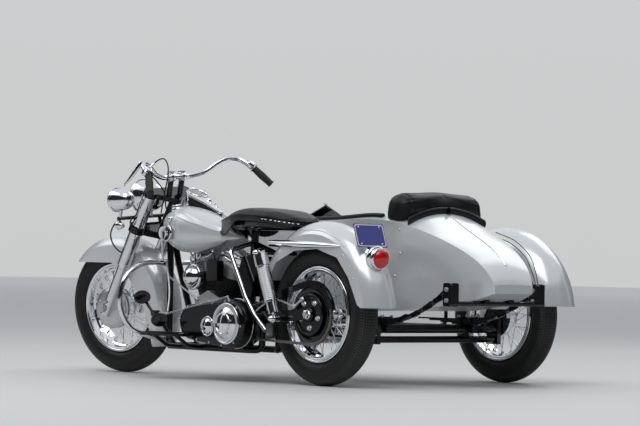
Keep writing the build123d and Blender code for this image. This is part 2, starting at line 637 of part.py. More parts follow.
def chain_guard():
    """Guard over the chain's upper run."""
    grow = CHAIN_GAP + CHAIN_HEIGHT + 9

    def band(outside, inside, y0, y1):
        big = belt_outline(CLUTCH, GEARBOX_SPROCKET_RADIUS + grow + outside, (0, TYRE_RADIUS), SPROCKET_RADIUS + grow + outside)
        small = belt_outline(CLUTCH, GEARBOX_SPROCKET_RADIUS + grow + inside, (0, TYRE_RADIUS), SPROCKET_RADIUS + grow + inside)
        return side_plate(big, y0, y1) - side_plate(small, y0 - 1, y1 + 1)
    whole = band(4, 0, 76, ARM_INNER - 1) + band(4, -26, ARM_INNER - 3, ARM_INNER - 1)
    whole = whole & block(-200, 240, 0, 200, TYRE_RADIUS + 28, 700)
    return whole + block(165, 200, ARM_INNER - 3.4, ARM_INNER - SEATED_GAP, TYRE_RADIUS - 12, 424)


def fender_rail():
    """Bright half-round bar that lies along the rear fender's side, from the frame stay to a thin tail."""
    half_width = REAR_FENDER[1]
    plane = Plane(origin=(300, half_width + SEATED_GAP, 652), x_dir=(0, 1, 0), z_dir=(-1, 0, -0.02))
    sections = []
    for along, high, deep in [(0, 15, 9), (120, 17, 13), (330, 15, 12), (505, 5, 4)]:
        face = make_face([ThreePointArc((0, -high), (deep, 0), (0, high)), Line((0, high), (0, -high))])
        sections.append(plane * Pos(0, 0, along) * face)
    return loft(sections)


def tail_lamp():
    """Tail lamp: a bright round housing on the fender, and the strap behind the number plate."""
    crown, half_width = REAR_FENDER
    body = rod((-306, 0, 604), (-386, 0, 596), 40)
    strap = plate_plane() * Pos(0, -34, 3.3) * Box(60, 120, PLATE_THICK)
    plate = plate_plane() * Box(PLATE_SIZE[0] + 2, PLATE_SIZE[1] + 2, PLATE_THICK + 2 * SEATED_GAP)
    return without(body + strap, Pos(0, 0, TYRE_RADIUS) * fender_form(crown, half_width), plate)


def plate_plane():
    """The number plate's own plane, leaning back above the tail lamp."""
    return Plane(origin=(-296, 0, 692), x_dir=(0, 1, 0), z_dir=(0.94, 0, -0.34))


def number_plate():
    """Blank plate, upright above the tail lamp."""
    return plate_plane() * Box(*PLATE_SIZE, PLATE_THICK)


def body_section(x, low_half, belt_half, floor, belt, ridge):
    """One cross-section of the sidecar body: flat floor, flat sides and an arched deck."""
    plane = Plane(origin=(x, BODY_MIDDLE, 0), x_dir=(0, 1, 0), z_dir=(1, 0, 0))
    sides = Polyline((belt_half, belt), (low_half, floor), (-low_half, floor), (-belt_half, belt))
    deck = ThreePointArc((-belt_half, belt), (0, ridge), (belt_half, belt))
    return plane * make_face([*sides.edges(), deck])


def body_form():
    """The sidecar body's outside as one solid."""
    return loft([body_section(*row) for row in BODY_SECTIONS])


def sidecar_body():
    """The boat-shaped body: a hollow shell with the cockpit cut into its top."""
    inner_rows = []
    for x, low_half, belt_half, floor, belt, ridge in BODY_SECTIONS[1:-2]:
        inner_rows.append((x, low_half - BODY_WALL, belt_half - BODY_WALL, floor + BODY_WALL, belt - BODY_WALL * 0.7,
                           ridge - BODY_WALL))
    inner = loft([body_section(*row) for row in inner_rows])
    length = COCKPIT_FRONT - COCKPIT_REAR
    opening = Pos((COCKPIT_FRONT + COCKPIT_REAR) / 2, BODY_MIDDLE, 700) * extrude(
        RectangleRounded(length, 2 * COCKPIT_HALF_WIDTH, 110), amount=300)
    return body_form() - inner - opening


def sidecar_seat(body):
    """The bench cushion and the upright squab inside the cockpit, as one piece on the body's floor."""
    x0, x1 = COCKPIT_REAR + 20, COCKPIT_REAR + 400
    half = COCKPIT_HALF_WIDTH - 26
    floor = 350.0
    cushion = block(x0 + 60, x1, BODY_MIDDLE - half, BODY_MIDDLE + half, floor, 500)
    squab = block(x0 - 10, x0 + 70, BODY_MIDDLE - half, BODY_MIDDLE + half, floor, 728)
    cushion = fillet(cushion.edges().filter_by(Axis.Z), 24)
    squab = fillet(squab.edges().filter_by(Axis.Z), 24)
    return without(cushion + squab, body)


def cowl():
    """The peaked hood ahead of the cockpit: a folded sheet, open at the rear and running down into the deck."""
    def fold(row, sheet):
        x, half, foot, peak = row
        corners = [(half - sheet, foot), (0, peak - sheet), (-half + sheet, foot)]
        return Plane(origin=(x, BODY_MIDDLE, 0), x_dir=(0, 1, 0), z_dir=(1, 0, 0)) * make_face(Polyline(*corners, close=True))
    hood = loft([fold(COWL_REAR, 0), fold(COWL_FRONT, 0)])
    x, half, foot, peak = COWL_REAR
    inside = loft([fold((x - 1, half, foot - 4, peak), COWL_SHEET), fold((COWL_FRONT[0] - 40, 74, 696, 744), COWL_SHEET)])
    return without(hood - inside, body_form())


def backrest_roll(body):
    """The padded roll that lies across the deck behind the cockpit."""
    half = 268.0
    core = Pos(6, BODY_MIDDLE, 826) * Rot(90, 0, 0) * Cylinder(82, 2 * half)
    core = fillet(core.edges(), 60)
    low = block(-96, 60, BODY_MIDDLE - half, BODY_MIDDLE + half, 700, 830)
    low = fillet(low.edges().filter_by(Axis.Z), 40)
    return core.fuse(low) - body


def sidecar_chassis():
    """Sidecar frame: two rails joined round the nose, cross tubes, struts, stays and the wheel's stub axle."""
    inner, outer = BODY_MIDDLE + RAIL_SPREAD, BODY_MIDDLE - RAIL_SPREAD
    z, r, x = RAIL_HEIGHT, RAIL_RADIUS, AXLE_TUBE_X
    arm_y = -SIDECAR_TRACK + HUB_HALF_LENGTH + DRUM_DEPTH + 7
    loop = tube([(-20, inner, z), (1060, inner, z), (1235, inner - 190, z), (1235, outer + 190, z), (1060, outer, z),
                 (-20, outer, z)], r, 90)
    pieces = [rod((x, inner + 40, z), (x, arm_y + 14, z), r + 2), rod((x, inner + 40, LOWER_TUBE_HEIGHT), (x, arm_y + 14, LOWER_TUBE_HEIGHT), r - 3),
              rod((700, inner, z), (700, outer, z), r - 2),
              block(x - 26, x + 26, inner + 30, inner + 50, LOWER_TUBE_HEIGHT - 22, z + 26),
              block(x - 26, SIDECAR_LEAD + 26, arm_y, arm_y + 24, LOWER_TUBE_HEIGHT - 24, TYRE_RADIUS + 30),
              disc(SIDECAR_LEAD, -SIDECAR_TRACK - 60, TYRE_RADIUS, AXLE_RADIUS, arm_y + 12 + SIDECAR_TRACK + 60)]
    return loop.fuse(*pieces, *sidecar_struts(), *fender_stays(), *body_mounts())


def sidecar_struts():
    """The low front, low rear and upper tubes that join the sidecar to the motorcycle."""
    inner = BODY_MIDDLE + RAIL_SPREAD
    z = RAIL_HEIGHT
    foot = -CRADLE_SPREAD
    return [rod((1028, foot, CRADLE_HEIGHT), (1034, inner, z), 13),
            tube([(430, foot, CRADLE_HEIGHT), (415, -266, CRADLE_HEIGHT), (400, inner, z)], 13, 40),
            rod((524, -BACKBONE_RADIUS, 580), (640, inner, z), 13)]


def fender_stays():
    """Two bent tubes from the sidecar chassis to the inner side of its fender."""
    y = -SIDECAR_TRACK + SIDECAR_FENDER[1] + SEATED_GAP
    outer = BODY_MIDDLE - RAIL_SPREAD
    return [tube([(250, outer, RAIL_HEIGHT), (250, outer - 62, 285), (250, outer - 62, 613), (250, y, 613)], 9, 22),
            tube([(AXLE_TUBE_X, outer - 90, RAIL_HEIGHT), (-60, outer - 90, 440), (-120, outer - 90, 618), (-120, y, 618)], 9, 30)]


def body_mounts():
    """Posts that bear the sidecar body on the chassis: one pair at the nose, one at the middle cross tube."""
    posts = []
    for s in (1, -1):
        posts.append(rod((1235, BODY_MIDDLE + s * 44, RAIL_HEIGHT), (1235, BODY_MIDDLE + s * 44, 416), 9))
        posts.append(rod((700, BODY_MIDDLE + s * 120, RAIL_HEIGHT), (700, BODY_MIDDLE + s * 120, 353), 12))
    return posts


def leaf_spring(y):
    """One pack of leaves: flat over the axle tube, rising in a curve to the shackle behind."""
    base = RAIL_HEIGHT + RAIL_RADIUS + 2.3
    eye_x, eye_z = SPRING_EYE
    pieces = []
    leaves = 4
    for i in range(leaves):
        share = 1.0 - 0.24 * i
        z = base + (leaves - 1 - i) * 7.0
        x1 = AXLE_TUBE_X - (AXLE_TUBE_X - eye_x) * share
        rise = (eye_z - z) * share * share
        mid = (AXLE_TUBE_X * 0.45 + x1 * 0.55, z + rise * 0.25)
        path = [Line((AXLE_TUBE_X + 330 * share, z), (AXLE_TUBE_X - 20, z)),
                ThreePointArc((AXLE_TUBE_X - 20, z), mid, (x1, z + rise))]
        top = [ThreePointArc((x1, z + rise + 7.4), (mid[0], mid[1] + 7.4), (AXLE_TUBE_X - 20, z + 7.4)),
               Line((AXLE_TUBE_X - 20, z + 7.4), (AXLE_TUBE_X + 330 * share, z + 7.4))]
        ends = [Line((x1, z + rise), (x1, z + rise + 7.4)),
                Line((AXLE_TUBE_X + 330 * share, z + 7.4), (AXLE_TUBE_X + 330 * share, z))]
        pieces.append(side_plate([*path, ends[0], *top, ends[1]], y - 20, y + 20))
    for x in (AXLE_TUBE_X - 34, AXLE_TUBE_X + 34):
        pieces.append(block(x - 12, x + 12, y - 26, y + 26, base - 2, base + leaves * 7 + 9))
    pieces.append(disc(eye_x, y - 20, eye_z + 6, 13, 40))
    return pieces[0].fuse(*pieces[1:])


def shackles():
    """C-shaped shackles at the springs' rear ends, and the bar between them that bears the tail."""
    eye_x, eye_z = SPRING_EYE
    pieces = []
    inner, outer = BODY_MIDDLE + RAIL_SPREAD, BODY_MIDDLE - RAIL_SPREAD
    bar_z = eye_z - 70
    for y in (inner, outer):
        for y0 in (y - 27, y + 20.3):
            cheek = block(eye_x - 34, eye_x + 15, y0, y0 + 6.7, bar_z - 14, eye_z + 23)
            pieces.append(fillet(cheek.edges().filter_by(Axis.Y), 10))
        pieces.append(block(eye_x - 34, eye_x - 24, y - 27, y + 27, bar_z - 4, eye_z + 13))
    pieces.append(rod((eye_x - 24, inner + 27, bar_z), (eye_x - 24, outer - 27, bar_z), 11))
    for s in (1, -1):
        pieces.append(block(eye_x - 44, eye_x - 4, BODY_MIDDLE + s * 80 - 16, BODY_MIDDLE + s * 80 + 16, bar_z, eye_z - 42))
    return pieces[0].fuse(*pieces[1:])


def yoke(up, thick, reach):
    """One fork yoke: a plate across both legs and the stem, with a boss round each leg."""
    plate = rod(steer_point(0, 0, up), steer_point(0, 0, up + thick), 28)
    for s in (1, -1):
        plate += rod(steer_point(AXLE_AHEAD, s * LEG_SPREAD, up), steer_point(AXLE_AHEAD, s * LEG_SPREAD, up + thick), reach)
    flat = Plane(origin=steer_point(0, 0, up), x_dir=(0, 1, 0), z_dir=(-RAKE_SIN, 0, RAKE_COS))
    ring = [Circle(26), Pos(LEG_SPREAD, -AXLE_AHEAD) * Circle(24), Pos(-LEG_SPREAD, -AXLE_AHEAD) * Circle(24)]
    web = flat * extrude(make_hull([edge for circle in ring for edge in circle.edges()]), amount=thick)
    return plate + web


def fork_yokes(bar):
    """Both yokes on the steering stem, the handlebar risers and the bar that carries the lamps."""
    low = yoke(YOKE_LOW, YOKE_THICK, COVER_RADIUS + 8)
    top = yoke(HEAD_TOP, 26, COVER_RADIUS + 2)
    pieces = [top, rod(steer_point(0, 0, YOKE_LOW), steer_point(0, 0, HEAD_TOP + 30), STEM_RADIUS)]
    x, y, z = BAR_ROUTE[0]
    bar_x, bar_z = LAMP_BAR
    side = PASSING_PLACE[1]
    for s in (1, -1):
        spread = s * RISER_SPREAD
        pieces.append(rod(steer_point(14, spread, HEAD_TOP + 4), (x, spread, z - 6), 14))
        pieces.append(disc(x, spread - 14, z, BAR_RADIUS + 9, 28))
        pieces.append(rod(steer_point(AXLE_AHEAD + 4, s * 60, YOKE_LOW + 12), (bar_x, s * 60, bar_z), LAMP_BAR_RADIUS))
    pieces.append(disc(bar_x, -side, bar_z, LAMP_BAR_RADIUS, 2 * side))
    return low.fuse(*pieces) - bar


def fork_legs():
    """Both sliders with the front axle through them."""
    axle = disc(WHEELBASE, -LEG_SPREAD - 32, TYRE_RADIUS, AXLE_RADIUS, 2 * LEG_SPREAD + 64)
    slider = rod(steer_point(AXLE_AHEAD, LEG_SPREAD, -34), steer_point(AXLE_AHEAD, LEG_SPREAD, SLIDER_TOP), SLIDER_RADIUS)
    return axle.fuse(slider, mirrored(slider))


def fender_on_fork(legs):
    """The front fender with the bosses and stays that hold it to the sliders."""
    half_width = FRONT_FENDER[1]
    fender = front_fender()
    x, z = WHEELBASE - 110, TYRE_RADIUS + 190
    boss = disc(x, half_width - 1, z, 15, LEG_SPREAD - half_width)
    stay = rod((WHEELBASE - 10, LEG_SPREAD - SLIDER_RADIUS + 13, TYRE_RADIUS + 10),
               (WHEELBASE - 268, half_width + 1, TYRE_RADIUS - 100), 4)
    return without(fender.fuse(boss, stay, mirrored(boss), mirrored(stay)), legs)


def fork_parts():
    """The steered pieces and the front wheel by name, made with the fork straight."""
    parts = {}
    legs = fork_legs()
    bar = tube([(x, -y, z) for x, y, z in reversed(BAR_ROUTE[1:])] + BAR_ROUTE[1:], BAR_RADIUS, 45)
    yokes = fork_yokes(bar)
    cover = rod(steer_point(AXLE_AHEAD, LEG_SPREAD, SLIDER_TOP), steer_point(AXLE_AHEAD, LEG_SPREAD, COVER_TOP), COVER_RADIUS)
    end, before = Vector(*BAR_ROUTE[-1]), Vector(*BAR_ROUTE[-2])
    way = (end - before).normalized()
    grip = rod(end - way * GRIP_LENGTH, end + way * 6, GRIP_RADIUS)
    parts["fork_sliders"] = legs
    parts["fork_yokes"] = yokes
    parts["fork_covers"] = without(pair(cover), yokes)
    parts["handlebar"] = bar
    parts["grips"] = pair(grip - bar)
    bar_x, bar_z = LAMP_BAR
    hx, hz = HEADLAMP_PLACE
    foot = rod((hx - 12, 0, hz - HEADLAMP_RADIUS * 0.6), (bar_x, 0, bar_z), 11)
    parts["headlamp"] = without(lamp(hx + 30, 0, hz, HEADLAMP_RADIUS, 120) + foot, yokes)
    px, py, pz = PASSING_PLACE
    foot = rod((px, py, pz - PASSING_RADIUS * 0.5), (bar_x, py - 12, bar_z), 8)
    parts["passing_lamps"] = without(pair(lamp(px + 24, py, pz, PASSING_RADIUS, 92) + foot), yokes)
    parts["front_fender"] = fender_on_fork(legs)
    plate_y = HUB_HALF_LENGTH + 1 + DRUM_DEPTH + 4
    plate = disc(WHEELBASE, plate_y, TYRE_RADIUS, PLATE_RADIUS, LEG_SPREAD - SLIDER_RADIUS - plate_y)
    parts["front_brake_plate"] = without(plate, legs)
    wheel_at = Pos(WHEELBASE, 0, TYRE_RADIUS)
    parts["front_tyre"] = wheel_at * tyre()
    parts["front_wheel_rim"] = wheel_at * wire_wheel(HUB_HALF_LENGTH + DRUM_DEPTH, 74, 1)
    return parts


def engine_parts(frame):
    """The engine, its gearbox, the drives and what hangs on them, by name."""
    parts = {}
    heads = group(cylinder_head(1), cylinder_head(-1))
    barrels = group(cylinder(1), cylinder(-1))
    parts["crankcase"] = engine_cases()
    parts["cylinders"] = barrels
    parts["cylinder_heads"] = heads
    parts["rocker_covers"] = group(rocker_cover(1), rocker_cover(-1))
    parts["primary_cover"] = primary_cover()
    parts["clutch_covers"] = clutch_covers()
    parts["gearbox"] = without(gearbox(), frame)
    parts["chain"] = chain()
    parts["chain_guard"] = chain_guard()
    parts["exhaust"] = without(exhaust(), heads, parts["crankcase"], parts["rocker_covers"])
    parts["horn"] = horn()
    parts["coil_box"] = coil_box()
    parts["carburettor"] = without(carburettor(), heads, barrels)
    parts["kick_starter"] = kick_starter()
    return parts


def sidecar_parts():
    """The sidecar and its wheel, by name."""
    parts = {}
    body = sidecar_body()
    inner, outer = BODY_MIDDLE + RAIL_SPREAD, BODY_MIDDLE - RAIL_SPREAD
    place = Pos(SIDECAR_LEAD, -SIDECAR_TRACK, TYRE_RADIUS)
    parts["sidecar_body"] = body
    parts["sidecar_cowl"] = cowl()
    parts["sidecar_seat"] = sidecar_seat(body)
    parts["backrest_roll"] = backrest_roll(body)
    parts["sidecar_springs"] = group(leaf_spring(inner), leaf_spring(outer))
    parts["sidecar_shackles"] = without(shackles(), parts["sidecar_springs"], body)
    parts["sidecar_chassis"] = sidecar_chassis()
    parts["sidecar_fender"] = sidecar_fender()
    parts["sidecar_tyre"] = place * tyre()
    parts["sidecar_wheel_rim"] = place * wire_wheel(HUB_HALF_LENGTH + DRUM_DEPTH, 60, 1)
    return parts


def build():
    """All pieces by name, in the motorcycle's own frame."""
    parts = {name: shape.rotate(STEER_AXIS, STEER_AT_REST) for name, shape in fork_parts().items()}
    frame = frame_tubes()
    arm = swing_arm()
    parts["frame"] = frame
    parts["swing_arm"] = arm - frame
    parts["rear_tyre"] = Pos(0, 0, TYRE_RADIUS) * tyre()
    wheel = wire_wheel(HUB_HALF_LENGTH + DRUM_DEPTH, 78, 1).fuse(sprocket(), disc(0, 60, 0, 66, SPROCKET_Y - 60))
    parts["rear_wheel_rim"] = Pos(0, 0, TYRE_RADIUS) * (wheel - disc(0, -200, 0, AXLE_RADIUS + RUNNING_GAP, 400))
    parts["rear_shocks"] = group(shock(1), shock(-1))
    parts["rear_fender"] = without(rear_fender(), frame)
    parts.update(engine_parts(frame))

    half = tank_half()
    parts["fuel_tanks"] = without(pair(half), frame)
    parts["dash"] = without(dash(), half, mirrored(half), frame)
    parts["saddle"] = without(saddle(), frame, half, mirrored(half))
    under_fender = disc(0, -200, TYRE_RADIUS, REAR_FENDER[0] + SEATED_GAP, 400)
    parts["oil_tank"] = without(oil_tank(), frame, under_fender)
    parts["side_brace"] = without(side_brace(), frame)
    board = footboard()
    parts["footboards"] = without(group(board, mirrored(board)), frame, parts["primary_cover"])
    parts["crash_bar"] = without(crash_bar(), frame)
    parts["shift_lever"] = without(shift_lever(), frame)
    parts["rocker_pedal"] = without(rocker_pedal(), frame)
    parts["fender_rail"] = without(pair(fender_rail()), frame)
    parts["tail_lamp"] = tail_lamp()
    parts["number_plate"] = number_plate()

    parts.update(sidecar_parts())
    parts["sidecar_chassis"] = without(parts["sidecar_chassis"], frame, parts["sidecar_fender"], body_form())
    return parts


def main():
    """Writes one STEP file for each piece."""
    os.makedirs("parts", exist_ok=True)
    middle_x, middle_y = PLAN_MIDDLE
    for name, shape in build().items():
        export_step(Pos(-middle_x, -middle_y, 0) * shape, f"parts/{name}.step")


if __name__ == "__main__":
    main()
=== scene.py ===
"""Looks of the sidecar motorcycle: finishes for every CAD node, and the pieces that are worked out
as surfaces, such as treaded tyres, laced wheels, leather, cables and fasteners. Metres."""

import json
import math

import bmesh
import bpy
import numpy as np
from mathutils import Matrix, Vector


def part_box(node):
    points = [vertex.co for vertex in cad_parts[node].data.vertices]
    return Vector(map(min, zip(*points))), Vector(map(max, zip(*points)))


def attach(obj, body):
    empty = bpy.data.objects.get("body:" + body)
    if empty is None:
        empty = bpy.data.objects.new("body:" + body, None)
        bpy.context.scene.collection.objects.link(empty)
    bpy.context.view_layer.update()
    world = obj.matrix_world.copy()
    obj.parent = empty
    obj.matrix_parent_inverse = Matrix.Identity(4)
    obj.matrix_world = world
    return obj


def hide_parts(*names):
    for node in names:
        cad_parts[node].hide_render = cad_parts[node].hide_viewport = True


bl_info = {
    "name": "Sidecar Motorcycle Builder",
    "version": (1, 0, 0),
    "blender": (4, 5, 0),
    "location": "View3D > Sidebar > Outfit",
    "description": "Builds the visible finish of a V-twin motorcycle with a sidecar around its CAD frame",
    "category": "Object",
}

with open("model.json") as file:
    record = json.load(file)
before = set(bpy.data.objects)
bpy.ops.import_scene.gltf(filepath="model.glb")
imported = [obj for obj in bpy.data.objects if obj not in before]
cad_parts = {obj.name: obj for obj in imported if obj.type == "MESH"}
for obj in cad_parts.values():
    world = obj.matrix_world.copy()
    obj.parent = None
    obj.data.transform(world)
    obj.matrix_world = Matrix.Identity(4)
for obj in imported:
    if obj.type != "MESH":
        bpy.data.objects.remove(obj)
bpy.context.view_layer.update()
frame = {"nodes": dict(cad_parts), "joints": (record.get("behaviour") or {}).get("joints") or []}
NODES = frame["nodes"]
JOINTS = {joint["name"]: joint for joint in frame["joints"]}


def centre_of(node):
    """Middle of a CAD node's box."""
    low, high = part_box(node)
    return (np.array(low) + np.array(high)) / 2


REAR = centre_of("rear_tyre")
SIDE = centre_of("sidecar_tyre")
STEER_POINT = np.array(JOINTS["steering"]["pos_m"])
STEER_AXIS = np.array(JOINTS["steering"]["axis"])
FRONT = np.array(JOINTS["front_wheel_spin"]["pos_m"])
FRONT_AXLE = np.array(JOINTS["front_wheel_spin"]["axis"])


# Shapes

def unit(ways):
    """Directions brought to a length of one."""
    ways = np.asarray(ways, float)
    return ways / np.linalg.norm(ways, axis=-1, keepdims=True)


def signed_power(values, power):
    """Each value's size raised to a power with its sign kept, which makes a circle of cosines squarer or rounder."""
    return np.sign(values) * np.abs(values) ** power


def values_of(items, name, kind=float):
    """A mesh's points or triangles read as rows of three numbers."""
    out = np.empty(len(items) * 3, kind)
    items.foreach_get(name, out)
    return out.reshape(-1, 3)


def read_table(x, rows):
    """Values at x of the straight lines through a table of (x, value) rows."""
    return np.interp(x, *np.array(rows, float).T)


def closing_steps(start, end, count):
    """Places from start to end that stand closer together towards both ends, by a cosine."""
    return start + (end - start) * (0.5 - 0.5 * np.cos(np.linspace(0, math.pi, count)))


def turn_about(points, point, axis, angle):
    """Points turned about a line: each keeps its part along the axis, and the rest turns by the angle."""
    axis = unit(axis)
    p = np.asarray(points, float) - point
    along = (p @ axis)[..., None] * axis
    return point + along + (p - along) * math.cos(angle) + np.cross(axis, p) * math.sin(angle)


STEER_SETTING = math.radians(9.5)
BIKE = np.array([REAR[0], REAR[1], 0.0])
FORWARD, LEFT, RIGHT, UP = (1, 0, 0), (0, 1, 0), (0, -1, 0), (0, 0, 1)
SIDECAR_Y = -0.655
WHEELS = (("rear", REAR, LEFT), ("front", FRONT, FRONT_AXLE), ("sidecar", SIDE, LEFT))


def bike(points):
    """Points given from the ground under the rear axle, placed in the shared frame."""
    return np.asarray(points, float) + BIKE


def steered(points):
    """Points of the fork as if it stood straight, turned to where it rests."""
    return turn_about(bike(points), STEER_POINT, STEER_AXIS, STEER_SETTING)


def steered_way(way):
    """A direction of the straight fork, turned to where it rests."""
    return turn_about(np.asarray(way, float), np.zeros(3), STEER_AXIS, STEER_SETTING)


def make_mesh(name, shapes, material, body="motorcycle", smooth=True):
    """One mesh object from several point and face arrays, welded where points meet, riding on a CAD body."""
    vertices, faces = joined(*shapes)
    mesh = bpy.data.meshes.new(name)
    mesh.vertices.add(len(vertices))
    mesh.vertices.foreach_set("co", vertices.astype(np.float32).ravel())
    mesh.loops.add(faces.size)
    mesh.loops.foreach_set("vertex_index", faces.astype(np.int32).ravel())
    mesh.polygons.add(len(faces))
    mesh.polygons.foreach_set("loop_start", np.arange(0, faces.size, faces.shape[1], dtype=np.int32))
    mesh.polygons.foreach_set("use_smooth", np.full(len(faces), smooth))
    mesh.update(calc_edges=True)
    weld = bmesh.new()
    weld.from_mesh(mesh)
    bmesh.ops.remove_doubles(weld, verts=weld.verts, dist=1e-6)
    weld.to_mesh(mesh)
    weld.free()
    mesh.validate()
    obj = bpy.data.objects.new(name, mesh)
    bpy.context.scene.collection.objects.link(obj)
    mesh.materials.append(finish(material))
    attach(obj, body)
    return obj


def grid_faces(rows, columns, wrap_rows=False, wrap_columns=False):
    """Quads that join a grid of points, row by row, and round the ends where it wraps."""
    r = np.arange(rows if wrap_rows else rows - 1)[:, None]
    c = np.arange(columns if wrap_columns else columns - 1)[None, :]
    r1, c1 = (r + 1) % rows, (c + 1) % columns
    return np.stack([r * columns + c, r * columns + c1, r1 * columns + c1, r1 * columns + c], -1).reshape(-1, 4)


def closed_tube(rings):
    """A closed shape from rings of points, one after the other."""
    return outward(rings, grid_faces(len(rings), len(rings[0]), False, True))


def capped(rings):
    """A closed shape from rings of points, with both ends drawn to their middle."""
    ends = [np.repeat(rings[i].mean(0, keepdims=True), len(rings[i]), 0)[None] for i in (0, -1)]
    return closed_tube(np.concatenate([ends[0], rings, ends[1]]))


def ring_ways(axis, t):
    """Directions square to an axis at the angles t, counted from the level one."""
    first = unit(np.cross(unit(axis), (0, 0, 1.0)))
    return np.cos(t)[:, None] * first + np.sin(t)[:, None] * np.cross(first, unit(axis))


def spun(profile, steps, middle, axis=LEFT):
    """A surface of revolution: each profile pair, distance from the axle and place along it, goes round a circle."""
    profile = np.asarray(profile, float)
    ring = ring_ways(axis, full_turn(steps))
    points = middle + ring[:, None, :] * profile[None, :, 0, None] + unit(axis) * profile[None, :, 1, None]
    return outward(points, grid_faces(steps, len(profile), True, True))


def evenly(line, count, endpoint=True):
    """Points along a line at even steps of its length."""
    run = np.concatenate([[0], np.cumsum(np.linalg.norm(np.diff(line, axis=0), axis=1))])
    even = np.linspace(0, run[-1], count, endpoint=endpoint)
    return np.stack([np.interp(even, run, line[:, k]) for k in range(line.shape[1])], 1)


def along_path(path, samples):
    """A smooth curve through the path's points: a centripetal Catmull-Rom spline at even steps of its length."""
    p = np.asarray(path, float)
    p = np.vstack([2 * p[0] - p[1], p, 2 * p[-1] - p[-2]])
    t = np.linspace(0, 1, 24, endpoint=False)[:, None, None]
    a, b, c, d = p[:-3], p[1:-2], p[2:-1], p[3:]
    curve = 0.5 * (2 * b + (c - a) * t + (2 * a - 5 * b + 4 * c - d) * t ** 2 + (3 * b - a - 3 * c + d) * t ** 3)
    return evenly(np.vstack([curve.transpose(1, 0, 2).reshape(-1, 3), p[-2:-1]]), samples)


def full_turn(count):
    """Angles evenly round a circle."""
    return np.linspace(0, 2 * math.pi, count, endpoint=False)


def pipe(path, radius, sides=12, samples=None):
    """A tube: circles of the given radius set square to a path, with both ends drawn to a point."""
    p = along_path(path, samples) if samples else np.asarray(path, float)
    tangent = unit(np.gradient(p, axis=0))
    least = int(np.argmin(np.abs(tangent).mean(0)))
    normal = unit(np.cross(tangent, np.eye(3)[least]))
    t = full_turn(sides)[None, :, None]
    circles = np.cos(t) * normal[:, None] + np.sin(t) * np.cross(tangent, normal)[:, None]
    return capped(p[:, None] + radius * circles)


def placements(x, y, z, at):
    """One 4 by 4 placement for each origin, with the three given axes."""
    out = np.tile(np.eye(4), (len(at), 1, 1))
    for column, value in enumerate((x, y, z, at)):
        out[:, :3, column] = value
    return out


def frames(origins, normals, spin=0.0):
    """One 4 by 4 placement for each origin, with its third axis along the normal."""
    origins = np.atleast_2d(origins).astype(float)
    n = unit(np.broadcast_to(np.atleast_2d(normals), origins.shape))
    x = unit(np.cross(np.where(np.abs(n[:, 2:3]) > 0.9, np.array([[1.0, 0, 0]]), np.array([[0, 0, 1.0]])), n))
    y = np.cross(n, x)
    c, s = math.cos(spin), math.sin(spin)
    return placements(x * c + y * s, y * c - x * s, n, origins)


def repeated(shape, places):
    """One shape's points and faces set at each placement and joined into one array each."""
    vertices, faces = shape
    vertices = np.asarray(vertices, float)
    moved = np.einsum("nij,vj->nvi", places[:, :3, :3], vertices) + places[:, None, :3, 3]
    shift = np.arange(len(places))[:, None, None] * len(vertices)
    return moved.reshape(-1, 3), (np.asarray(faces)[None] + shift).reshape(-1, np.asarray(faces).shape[1])


def joined(*shapes):
    """Several point and face arrays put together."""
    vertices, faces, start = [], [], 0
    for v, f in shapes:
        vertices.append(np.asarray(v, float).reshape(-1, 3))
        faces.append(np.asarray(f) + start)
        start += len(vertices[-1])
    return np.vstack(vertices), np.vstack(faces)


def stack_of_rings(profile, sides):
    """A turned knob, bolt head or pin on its own Z axis: rings of the profile's radii at its heights."""
    profile = np.asarray(profile, float)
    t = full_turn(sides)
    ring = np.stack([np.cos(t), np.sin(t)], 1)
    return closed_tube(np.concatenate([ring[None] * profile[:, :1, None], np.repeat(profile[:, 1:, None], sides, 1)],
                                      -1))


def bolts_at(points, way, across, height):
    """Bolt heads at points, facing one way: each a hexagon, with its width across the flats, on a washer."""
    r = across / 2 / math.cos(math.pi / 6)
    foot = height * 0.2
    washer = stack_of_rings([(0, 0), (r * 1.15, 0), (r * 1.15, foot), (0, foot)], 14)
    head = stack_of_rings([(0, foot), (r, foot), (r, height * 0.88), (r * 0.84, height), (0, height)], 6)
    return repeated(joined(washer, head), frames(points, way))


def screws_at(points, way, radius, height):
    """Low domed screw heads at points, facing one way: a quarter circle of heights turned round an axis."""
    a = np.linspace(0, math.pi / 2, 5)
    profile = [(0, 0), (radius, 0)] + [(radius * math.cos(v), height * (0.25 + 0.75 * math.sin(v))) for v in a]
    profile[-1] = (0, height)
    return repeated(stack_of_rings(profile, 12), frames(points, way))


def rounded_box(size, power=6.0, cells=10):
    """A box with soft edges: a sphere's directions pushed out to a superellipsoid of the given power."""
    u = np.linspace(-math.pi / 2, math.pi / 2, cells * 2 + 1)[:, None]
    v = full_turn(cells * 4)[None]
    cu, su, cv, sv = (signed_power(f, 2 / power) for f in (np.cos(u), np.sin(u), np.cos(v), np.sin(v)))
    return closed_tube(np.stack([cu * cv, cu * sv, su + 0 * cv], -1) * (np.asarray(size) / 2))


def outward(points, faces):
    """The closed shape with its faces turned outwards: reversed when its volume, a sum over the faces, is negative."""
    points = np.asarray(points, float).reshape(-1, 3)
    p = points[faces] - points.mean(0)
    volume = sum(np.einsum("ij,ij->", p[:, 0], np.cross(p[:, i], p[:, i + 1])) for i in range(1, p.shape[1] - 1))
    return points, faces if volume >= 0 else faces[:, ::-1]


